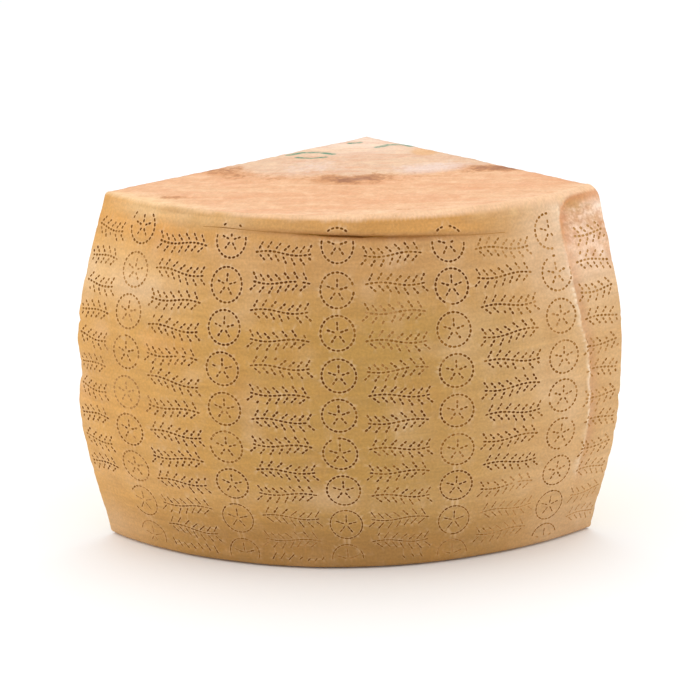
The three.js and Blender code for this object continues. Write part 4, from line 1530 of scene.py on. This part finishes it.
def top_colours(points):
    """Peach, paler inside the mark that a board left, with an orange patch and a pale worn rim with a painted
    highlight.
    """
    x, y = points[:, 0], points[:, 1]
    degrees = np.degrees(np.arctan2(x, -y))
    reach = np.hypot(x, y)
    outside = ring_distance(points)
    grainy = 1 - TOP_GRAINY[0] + TOP_GRAINY[0] * lumps(x, y, *TOP_GRAINY[1:])
    middle_warm = swell(*WARM_MIDDLE, degrees)
    warm = np.maximum(WARM_LEFT_SHARE * swell(*WARM_LEFT, degrees), middle_warm)
    warm = warm * swell(WARM_RING[0], WARM_RING[1] + WARM_RING[2] * middle_warm, outside)
    from_orange = np.hypot(x - ORANGE_PLACE[0], (y - ORANGE_PLACE[1]) * ORANGE_PLACE[2])
    rim_width = TOP_RIM_WIDTH[0] + TOP_RIM_WIDTH[1] * ease(*TOP_RIM_TURN, degrees)
    rim_reach = reach - TOP_RIM_RADIUS - TOP_RIM_OUT[0] * ease(*TOP_RIM_OUT[1], degrees)
    on_rim = ease(0, 1, rim_reach / rim_width + 1)
    return painted(PEACH, points, [
        (INNER, 0.95, 1 - ease(*INNER_EDGE, outside)),
        (CORNER_PALE, 0.9, 1 - ease(*CORNER_REACH, reach)),
        (STAIN_ORANGE, 0.85, warm * grainy),
        (ORANGE, 0.8, 1 - ease(*ORANGE_EDGE, from_orange)),
        # the pale worn rim of the top with a painted highlight, paler still towards the left
        (RIM_PALE_AND_HIGHLIGHT, 0.75, on_rim),
        (RIM_CRUMB_AND_HIGHLIGHT, 0.6, on_rim * (1 - ease(*RIM_CRUMB_END, degrees))),
        (STAIN, 0.22, 1 - ease(0, CUT_BROWN_TO, from_cuts(points[:, :2]))),
    ])


top_ground = top_colours(top_points_3d)
bottom_ground = top_colours(bottom_points_3d) * BOTTOM_SHADE
print("mean top colour", np.round(top_ground.mean(axis=0), 3))

# %% [markdown]
# The paste is straw, with painted shade in its hollows, a painted highlight on its ridges, and paler and
# deeper patches. Along the rind it dried to a golden band with a thin brown skin. The ground colours of all
# five patches are then stored at the corners of the triangles.

# %% Colours of the paste
STRAW = "#F3DCA6"
PASTE_PALE_AND_HIGHLIGHT = "#FBEFCC"
PASTE_DEEP_AND_SHADE = "#E0B570"
PASTE_BAND = "#D6A45A"
PASTE_SKIN = "#A8743A"
PASTE_RAGGED = ((1.6, 14, 95), (0.7, 5, 96))
PASTE_PALE_PATCHES = (0.2, 38, 97)  # strength, size and seed
PASTE_DEEP_PATCHES = (0.15, 27, 98)
PASTE_BAND_TO = (3, 10)
PASTE_SKIN_TO = (0.4, 2.6)


def paste_colours(points, to_rind, sunk):
    """Straw, with a painted highlight on what stands out and painted shade in what is sunk, paler and deeper
    patches, then a dried golden band and a thin brown skin along the rind, the top and the bottom."""
    along, height = points[:, 0] - points[:, 1], points[:, 2]
    to_skin = np.minimum(to_rind, np.minimum(height, HEIGHT - height))
    uneven = to_skin + waves(along, height, PASTE_RAGGED)
    pale, deep = (
        share * np.maximum(lumps(along, height, size, seed), 0)
        for share, size, seed in (PASTE_PALE_PATCHES, PASTE_DEEP_PATCHES)
    )
    return painted(STRAW, points, [
        # painted highlight on what stands out and painted shade in what is sunk, with paler and deeper
        # patches at random
        (PASTE_PALE_AND_HIGHLIGHT, 1, 0.9 * np.maximum(-sunk, 0) + pale),
        (PASTE_DEEP_AND_SHADE, 1, 0.65 * np.maximum(sunk, 0) + deep),
        (PASTE_BAND, 0.75, 1 - ease(*PASTE_BAND_TO, uneven)),
        (PASTE_SKIN, 0.8, 1 - ease(*PASTE_SKIN_TO, to_skin)),
    ])


left_ground, right_ground = (paste_colours(cut[0], *cut[2:]) for cut in (left_cut, right_cut))
colours = np.ones((len(all_points), 4))
colours[:, :3] = np.concatenate([rind_ground, top_ground, left_ground, right_ground, bottom_ground])
ground = mesh.attributes.new("ground", "FLOAT_COLOR", "CORNER")
ground.data.foreach_set("color", colours[all_triangles].reshape(-1).astype(np.float32))
print("mean paste colour", np.round(left_ground.mean(axis=0), 3))

# %% [markdown]
# Five marks are stored as strengths from 0 to 1, because the materials break them up with fine patterns: the
# raised edges of the bars, which carry a painted highlight, the bared hollow, the ink, the stain and the
# white bloom.

# %% Painted marks
BARED_FROM = (3.0, 9.0)
BARED_TO = (16, 38)
RING_STAIN = (1, 18)  # the mark's middle and half its width, outwards from the ring
STAIN_PLACES = ((1.0, 3, 15), (0.95, 46, 12), (0.45, -40, 13))  # strength, middle and half, in degrees
STAIN_STRENGTH = (0.25, 0.88)  # everywhere, and how much more at these places
STAIN_BARE = (11, -119, 9, 1.8)  # x, y, half a width, and how much flatter, as in all spots
STAIN_BARE_SHARE = 0.6
SMUDGE = (-95, -151, 15, 2.4)
SMUDGE_STRENGTH = 0.75
CRACK = (39, -186, 7, 5)
BLOOM_RING = (-14, 22)
BLOOM_DEGREES = (29, 21)
BLOOM_LEFT = (-22, -82, 32, 1)
BLOOM_LEFT_STRENGTH = 0.6
BLOOM_SMALL = (9, -115, 10, 1.6)
INK_EDGE = (0.55, 1.25)  # in half widths of the stroke


def bared_strength(points):
    """The hollow, where fresher rind was laid bare: 1 inside its walls, fading out below."""
    _, below, within = scoop_places(wheel_degrees(*points.T), points[:, 2], SCOOP_RADIUS)
    return ease(*BARED_FROM, within) * (1 - ease(*BARED_TO, below))


def stain_strength(points):
    """Strong in the middle and at both ends of the mark, and faint between them; one small smudge more."""
    degrees = np.degrees(np.arctan2(points[:, 0], -points[:, 1]))
    strongest = np.max([share * swell(middle, half, degrees) for share, middle, half in STAIN_PLACES], axis=0)
    on_ring = STAIN_STRENGTH[0] + STAIN_STRENGTH[1] * strongest
    on_ring = on_ring * (1 - STAIN_BARE_SHARE * spot(points, *STAIN_BARE))
    others = np.maximum(SMUDGE_STRENGTH * spot(points, *SMUDGE), spot(points, *CRACK))
    return np.maximum(on_ring * swell(*RING_STAIN, ring_distance(points)), others)


def bloom_strength(points):
    """White bloom inside the mark at the right, a faint patch at the left and a small one on the mark."""
    degrees = np.degrees(np.arctan2(points[:, 0], -points[:, 1]))
    right = swell(*BLOOM_RING, ring_distance(points)) * swell(*BLOOM_DEGREES, degrees)
    left = BLOOM_LEFT_STRENGTH * spot(points, *BLOOM_LEFT)
    return np.maximum(np.maximum(right, left), spot(points, *BLOOM_SMALL))


inked = np.zeros(len(top_points_3d))
for stroke, half_width in INK_STROKES:
    gap = stroke_distance(top_points_3d[:, :2], stroke)
    inked = np.maximum(inked, 1 - ease(half_width * INK_EDGE[0], half_width * INK_EDGE[1], gap))
layers = {  # the patch that each belongs to, and its strength from 0 to 1
    "pushed_up": (0, rind_edged),
    "bared": (0, bared_strength(rind_points_3d)),
    "ink": (1, inked),
    "stain": (1, stain_strength(top_points_3d)),
    "bloom": (1, bloom_strength(top_points_3d)),
}
for name, (patch, strength) in layers.items():
    layer = np.zeros(len(all_points))
    layer[first_point[patch]:first_point[patch + 1]] = strength
    made = mesh.attributes.new(name, "FLOAT", "CORNER")
    made.data.foreach_set("value", layer[all_triangles].reshape(-1).astype(np.float32))
    print(name, "covers", round(100 * float((layer > 0).mean()), 1), "% of the points")

# %% [markdown]
# A material is a small net of nodes. One helper adds a node, sets its properties and fills or links its
# sockets. All finishes of the cheese are then made in the same three stages: patterns at a real size,
# layers of colour that these patterns and the painted marks let through, and the surface with its bumps.

# %% Node helper and the stages of a finish
NOISE, CELLS = "ShaderNodeTexNoise", "ShaderNodeTexVoronoi"
PATTERN_SETTINGS = ("Detail", "Roughness", "Distortion")
COLOUR_A, COLOUR_B, MIXED = 6, 7, 2  # a Mix node's colour sockets
CHEESE_SPECULAR = 0.32  # dull: half of what plain wax would reflect


def add_node(tree, kind, sockets=None, **properties):
    """Adds a node. sockets maps a socket's name or number to a value or to another node's output."""
    made = tree.nodes.new(kind)
    for name, value in properties.items():
        setattr(made, name, value)
    for name, value in (sockets or {}).items():
        if isinstance(value, bpy.types.NodeSocket):
            tree.links.new(value, made.inputs[name])
        else:
            made.inputs[name].default_value = value
    return made


def rgba(hex_colour):
    """A named colour as four linear values."""
    return (*linear(hex_colour), 1.0)


def new_material(name, *marks):
    """An empty material, its node tree, and the strength of each painted mark that it reads."""
    material = bpy.data.materials.new(name)
    material.use_nodes = True
    tree = material.node_tree
    tree.nodes.clear()
    painted_marks = [add_node(tree, "ShaderNodeAttribute", attribute_name=mark) for mark in marks]
    return material, tree, [mark.outputs["Fac"] for mark in painted_marks]


def per_metre(millimetres):
    """The scale of a pattern whose features are this large, on coordinates in metres."""
    return 1.0 / (millimetres * MM)


def pattern_values(tree, places, patterns):
    """The value of each pattern of a table, by its name."""
    made = {}
    for name, texture, place, millimetres, *settings in patterns:
        sockets = dict(zip(PATTERN_SETTINGS, settings))
        sockets.update({"Vector": places[place], "Scale": per_metre(millimetres)})
        made[name] = add_node(tree, texture, sockets).outputs[0]
    return made


def layered_colour(tree, layers):
    """The painted ground with layers over it. A layer is a value, where it sets in and where it is full, its
    strength at both, and its tint. A layer without a tint brightens or darkens what is below it."""
    colour = add_node(tree, "ShaderNodeAttribute", attribute_name="ground").outputs["Color"]
    for value, low, high, least, most, tint in layers:
        share = add_node(tree, "ShaderNodeMapRange", {
            "Value": value, "From Min": low, "From Max": high, "To Min": least, "To Max": most}).outputs[0]
        if tint is None:
            toned = add_node(tree, "ShaderNodeVectorMath", {0: colour, "Scale": share}, operation="SCALE")
            colour = toned.outputs[0]
        else:
            tinted = add_node(tree, "ShaderNodeMix", {
                0: share, COLOUR_A: colour, COLOUR_B: rgba(tint)}, data_type="RGBA")
            colour = tinted.outputs[MIXED]
    return colour


def surfaced(material, colour, roughness, specular, bumps=()):
    """Bumps, each a value, a strength and a depth in millimetres, then the surface and the output."""
    tree = material.node_tree
    normal = {}
    for value, strength, millimetres in bumps:
        bump = add_node(tree, "ShaderNodeBump", {
            "Strength": strength, "Distance": millimetres * MM, "Height": value, **normal})
        normal = {"Normal": bump.outputs["Normal"]}
    shader = add_node(tree, "ShaderNodeBsdfPrincipled", {
        "Base Color": colour, "Roughness": roughness, "Specular IOR Level": specular, **normal})
    output = add_node(tree, "ShaderNodeOutputMaterial")
    tree.links.new(shader.outputs[0], output.inputs["Surface"])
    return material


print("patterns can be set by", PATTERN_SETTINGS)

# %% [markdown]
# The rind is dried cheese, rubbed with oil and brushed for months: satin, faintly waxy, and mottled.
# Under the broad colours lie chalky patches of about 12 mm, deeper gold blotches of about 30 mm, faint
# lines along the band's cloth, and pale specks under a millimetre. The finest grain is a bump.

# %% Aged rind
RIND_ROUGHNESS = 0.52
BLOTCH_GOLD = "#B8823C"
HALO_HIGHLIGHT = "#ECCBA2"  # painted highlight on the raised edge of each mark
HALO_STRENGTH = 0.5
HALO_FALL = 1.6  # the higher, the closer it keeps to the mark
FLECK_STRENGTH = 0.45  # of the flecks in the hollow
LINE_STRETCH = (0.12, 1.0, 1.0)
RIND_PATTERNS = (  # name, texture, where it is read, size in millimetres, detail, roughness, distortion
    ("patches", NOISE, "flat", 13.0, 4.0, 0.62, 0.4),
    ("blotches", NOISE, "flat", 34.0, 3.0, 0.55, 0.8),
    ("flecks", NOISE, "flat", 3.0, 3.0, 0.6),
    ("lines", NOISE, "stretched", 4.0, 3.0, 0.6),
    ("specks", NOISE, "flat", 1.5, 2.0, 0.5),  # drawn coarser than the real 0.5 mm, so that they show
    ("skin", NOISE, "flat", 1.3, 3.0, 0.6),
)


def aged_rind():
    """Satin, read on the flat map, with flecks only in the hollow and a painted highlight along each mark."""
    material, tree, (bared, pushed_up) = new_material("aged_rind", "bared", "pushed_up")
    flat = add_node(tree, "ShaderNodeUVMap", uv_map="rind_sheet").outputs["UV"]
    stretched = add_node(tree, "ShaderNodeMapping", {"Vector": flat, "Scale": LINE_STRETCH}).outputs[0]
    pattern = pattern_values(tree, {"flat": flat, "stretched": stretched}, RIND_PATTERNS)
    flecked = add_node(tree, "ShaderNodeMath", {0: bared, 1: FLECK_STRENGTH}, operation="MULTIPLY").outputs[0]
    close_by = add_node(tree, "ShaderNodeMath", {0: pushed_up, 1: HALO_FALL}, operation="POWER").outputs[0]
    colour = layered_colour(tree, (
        (pattern["patches"], 0.52, 0.78, 0.0, 0.14, CHALK),
        (pattern["blotches"], 0.46, 0.68, 0.0, 0.27, BLOTCH_GOLD),
        (pattern["flecks"], 0.5, 0.68, 0.0, flecked, SCOOP_PALE),
        (pattern["flecks"], 0.5, 0.34, 0.0, flecked, SCOOP_SPOT_AND_SHADE),
        (pattern["lines"], 0.3, 0.7, 0.92, 1.08, None),
        (pattern["specks"], 0.3, 0.75, 0.91, 1.12, None),
        # painted highlight along the raised edge of each mark
        (close_by, 0.0, 1.0, 0.0, HALO_STRENGTH, HALO_HIGHLIGHT),
    ))
    bumps = ((pattern["patches"], 0.35, 0.6), (pattern["skin"], 0.22, 0.25))
    return surfaced(material, colour, RIND_ROUGHNESS, CHEESE_SPECULAR, bumps)


# %% [markdown]
# The top lay on boards and was turned every few days. Cloth and board left fine streaks across it. The
# ink was brushed on over oil, so it is thin and broken where the brush skipped.

# %% Rind of the top
TOP_ROUGHNESS = 0.6
STREAK_STRETCH = (0.19, 1.0, 1.0)  # five times as long across as they are wide
STREAK_BEND = 0.7
TOP_PATTERNS = (
    ("mottle", NOISE, "plain", 6.5, 5.0, 0.66),
    ("streaks", NOISE, "stretched", 3.6, 4.0, 0.6, STREAK_BEND),
    ("bands", NOISE, "stretched", 11.0, 3.0, 0.55, STREAK_BEND),
    ("broken", NOISE, "plain", 4.0, 5.0, 0.7),
    ("grain", NOISE, "plain", 1.7, 2.0, 0.6),
)
BLOOM, INK = "#E6CDC0", "#2C8468"
MOTTLE_PALE, MOTTLE_DEEP = "#F3D3AE", "#D8915E"
BAND_PALE, BAND_DEEP = "#F1CFA6", "#D98D5C"
STREAK_DEEP = "#D98F6C"
MARK_FULL = 0.15  # a painted mark lets its layer through in full from this strength on
TOP_MARKS = (  # mark, how much it breaks up, where it sets in, where it is full, its strength and colour
    ("bloom", 2.0, 1.3, 1.9, 0.78, BLOOM),
    ("stain", 2.1, 1.2, 1.65, 0.75, STAIN_ORANGE),
    ("stain", 2.1, 1.45, 2.1, 0.85, STAIN),
)


def rind_top():
    """Mottled and streaked, with the broken edges of bloom, stain and ink where these marks are painted."""
    material, tree, (ink, *marks) = new_material("rind_top", "ink", *[name for name, *_ in TOP_MARKS])
    plain = add_node(tree, "ShaderNodeTexCoord").outputs["Object"]
    stretched = add_node(tree, "ShaderNodeMapping", {"Vector": plain, "Scale": STREAK_STRETCH}).outputs[0]
    pattern = pattern_values(tree, {"plain": plain, "stretched": stretched}, TOP_PATTERNS)
    layers = [
        (pattern["mottle"], 0.5, 0.72, 0.0, 0.36, MOTTLE_PALE),
        (pattern["mottle"], 0.48, 0.3, 0.0, 0.3, MOTTLE_DEEP),
        (pattern["bands"], 0.5, 0.72, 0.0, 0.3, BAND_PALE),
        (pattern["bands"], 0.5, 0.3, 0.0, 0.32, BAND_DEEP),
        (pattern["streaks"], 0.5, 0.72, 0.0, 0.4, STREAK_DEEP),
    ]
    for mark, (_, gain, low, high, strength, tint) in zip(marks, TOP_MARKS):
        there = add_node(tree, "ShaderNodeMapRange", {
            "Value": mark, "From Min": 0.0, "From Max": MARK_FULL, "To Min": 0.0, "To Max": strength})
        uneven = add_node(tree, "ShaderNodeMath", {
            0: pattern["broken"], 1: gain, 2: mark}, operation="MULTIPLY_ADD")
        layers.append((uneven.outputs[0], low, high, 0.0, there.outputs["Result"], tint))
    unbroken = add_node(tree, "ShaderNodeMapRange", {
        "Value": pattern["broken"], "From Min": 0.38, "From Max": 0.6, "To Min": 0.35, "To Max": 0.95})
    layers += [
        (pattern["grain"], 0.3, 0.7, 0.93, 1.07, None),
        (pattern["mottle"], 0.3, 0.7, 0.96, 1.04, None),
        (ink, 0.0, 1.0, 0.0, unbroken.outputs["Result"], INK),
    ]
    bumps = ((pattern["mottle"], 0.35, 0.6), (pattern["grain"], 0.3, 0.3))
    return surfaced(material, layered_colour(tree, layers), TOP_ROUGHNESS, CHEESE_SPECULAR, bumps)


# %% [markdown]
# The broken paste is dry and grainy. Painted shade darkens it between its granules, and its tone changes
# softly over a few centimetres. A few hairlines run where it began to split, white crystals of about a
# millimetre lie scattered in it, and a painted shadow marks each small pit where a grain fell out.

# %% Broken paste
PASTE_ROUGHNESS = 0.74
PASTE_NOISES = (
    ("drift", NOISE, "plain", 32.0, 3.0, 0.6),
    ("grain", NOISE, "plain", 4.2, 4.0, 0.62),
    ("fine", NOISE, "plain", 1.2, 3.0, 0.6),
    ("hairline", NOISE, "plain", 22.0, 3.0, 0.55),
)
PASTE_CELLS = (
    ("granules", CELLS, "pushed", 3.4),
    ("pits", CELLS, "pushed", 10.0),
    ("crystals", CELLS, "pushed", 8.0),
)
WANDER_MM = 4.2
WANDER_REACH = (2.5 * MM,) * 3
HAIRLINE_AT = 0.5  # of the noise value, with half a width of about 0.15 mm
HAIRLINE_HALF = 0.003
DRIFT_PALE, GRAIN_PALE, GRAIN_DEEP = "#EBC88C", "#FCF3D8", "#DFB577"
GRANULE_SHADE, PIT_SHADOW, HAIRLINE_DARK, CRYSTAL_WHITE = "#D5A868", "#A67B41", "#B07F3F", "#FCF5E2"


def broken_paste():
    """Granules in cells that wander a little, with painted shade between them, painted pit shadows and
    crystals in larger cells, and hairlines of a noise.
    """
    material, tree, _ = new_material("broken_paste")
    plain = add_node(tree, "ShaderNodeTexCoord").outputs["Object"]
    wander = add_node(tree, NOISE, {"Vector": plain, "Scale": per_metre(WANDER_MM), "Detail": 2.0})
    pushed = add_node(tree, "ShaderNodeVectorMath", {
        0: wander.outputs["Color"], 1: WANDER_REACH, 2: plain}, operation="MULTIPLY_ADD").outputs[0]
    pattern = pattern_values(tree, {"plain": plain, "pushed": pushed}, PASTE_NOISES + PASTE_CELLS)
    on_line = add_node(tree, "ShaderNodeMath", {
        0: pattern["hairline"], 1: HAIRLINE_AT, 2: HAIRLINE_HALF}, operation="COMPARE").outputs[0]
    split = add_node(tree, "ShaderNodeMapRange", {
        "Value": pattern["drift"], "From Min": 0.46, "From Max": 0.38, "To Min": 0.0, "To Max": 0.6})
    some = add_node(tree, "ShaderNodeMapRange", {
        "Value": pattern["drift"], "From Min": 0.42, "From Max": 0.5, "To Min": 0.0, "To Max": 0.9})
    colour = layered_colour(tree, (
        (pattern["drift"], 0.5, 0.75, 0.0, 0.25, DRIFT_PALE),
        (pattern["grain"], 0.5, 0.74, 0.0, 0.4, GRAIN_PALE),
        (pattern["grain"], 0.46, 0.28, 0.0, 0.3, GRAIN_DEEP),
        # painted shade between the granules, and painted shadows for small pits
        (pattern["granules"], 0.5, 0.9, 0.0, 0.2, GRANULE_SHADE),
        (pattern["pits"], 0.1, 0.05, 0.0, 0.75, PIT_SHADOW),
        (on_line, 0.0, 1.0, 0.0, split.outputs["Result"], HAIRLINE_DARK),
        (pattern["crystals"], 0.1, 0.05, 0.0, some.outputs["Result"], CRYSTAL_WHITE),
        (pattern["fine"], 0.3, 0.7, 0.9, 1.1, None),
    ))
    bumps = ((pattern["granules"], 0.4, -1.2), (pattern["grain"], 0.8, 2.6), (pattern["fine"], 0.7, 0.9))
    return surfaced(material, colour, PASTE_ROUGHNESS, CHEESE_SPECULAR, bumps)


# %% [markdown]
# The bars' troughs hold dried whey and dust, which are dark brown and dull where the band pressed deep.
# Where it pressed lightly they are only a deeper gold. Five even colours are enough for bars this small,
# and the darker four also serve as painted shade in the crease's slit.

# %% Pressed bars
BAR_COLOURS = {  # one for each shade, the deepest first
    "pressed_dark_and_crease_shade": "#8C5923",
    "pressed_deep_and_crease_shade": "#986628",
    "pressed_worn_and_crease_shade": "#A67432",
    "pressed_light_and_crease_shade": "#B08045",
    "pressed_faint": "#BB8C54",
}
BAR_ROUGHNESS = 0.8
BAR_SPECULAR = 0.15

finishes = [aged_rind(), rind_top(), broken_paste()]
for name, hex_colour in BAR_COLOURS.items():
    finishes.append(surfaced(new_material(name)[0], rgba(hex_colour), BAR_ROUGHNESS, BAR_SPECULAR))
for finish in finishes:
    mesh.materials.append(finish)
mesh.polygons.foreach_set("material_index", slot_of)
mesh.update()
print("finishes:", [finish.name for finish in finishes])

# %% [markdown]
# The studio is a pale floor, an even white surround and three large soft boxes: one above and a little
# in front, and one on each side, which brighten the rind where it turns away.

# %% Floor and light
FLOOR_HALF = 9.0
FLOOR_DROP = 0.2 * MM
FLOOR_WHITE = "#F8F8F8"
FLOOR_ROUGHNESS = 0.9
FLOOR_SPECULAR = 0.5
SURROUND = 0.66
WHITE = (1.0, 1.0, 1.0, 1.0)
floor_mesh = bpy.data.meshes.new("studio_floor")
around = ((-1, -1), (1, -1), (1, 1), (-1, 1))
floor_corners = [(x * FLOOR_HALF, y * FLOOR_HALF, -FLOOR_DROP) for x, y in around]
floor_mesh.from_pydata(floor_corners, [], [(0, 1, 2, 3)])
floor_object = bpy.data.objects.new("studio_floor", floor_mesh)
bpy.context.scene.collection.objects.link(floor_object)
floor_mesh.materials.append(
    surfaced(new_material("pale_floor")[0], rgba(FLOOR_WHITE), FLOOR_ROUGHNESS, FLOOR_SPECULAR))

world = bpy.data.worlds.new("studio")
world.use_nodes = True
world.node_tree.nodes.clear()
world_output = add_node(world.node_tree, "ShaderNodeOutputWorld")
surround = add_node(world.node_tree, "ShaderNodeBackground", {"Color": WHITE, "Strength": SURROUND})
world.node_tree.links.new(surround.outputs[0], world_output.inputs["Surface"])
bpy.context.scene.world = world

SOFT_BOXES = {  # place, point it faces, side and power
    "box_above": ((0.0, 0.3, 2.8), (0.0, 0.3, 0.0), 5.0, 70.0),
    "box_left": ((-2.2, -0.4, 0.9), (0.0, 0.0, 0.1), 1.4, 12.0),
    "box_right": ((2.2, -0.4, 0.9), (0.0, 0.0, 0.1), 1.4, 12.0),
}
for name, (place, target, side, power) in SOFT_BOXES.items():
    light = bpy.data.lights.new(name, "AREA")
    light.size = side
    light.energy = power
    lamp = bpy.data.objects.new(name, light)
    bpy.context.scene.collection.objects.link(lamp)
    facing = (Vector(target) - Vector(place)).to_track_quat("-Z", "Y")
    lamp.matrix_world = Matrix.Translation(place) @ facing.to_matrix().to_4x4()
bpy.context.scene.view_settings.view_transform = "Standard"
print("soft boxes:", list(SOFT_BOXES))
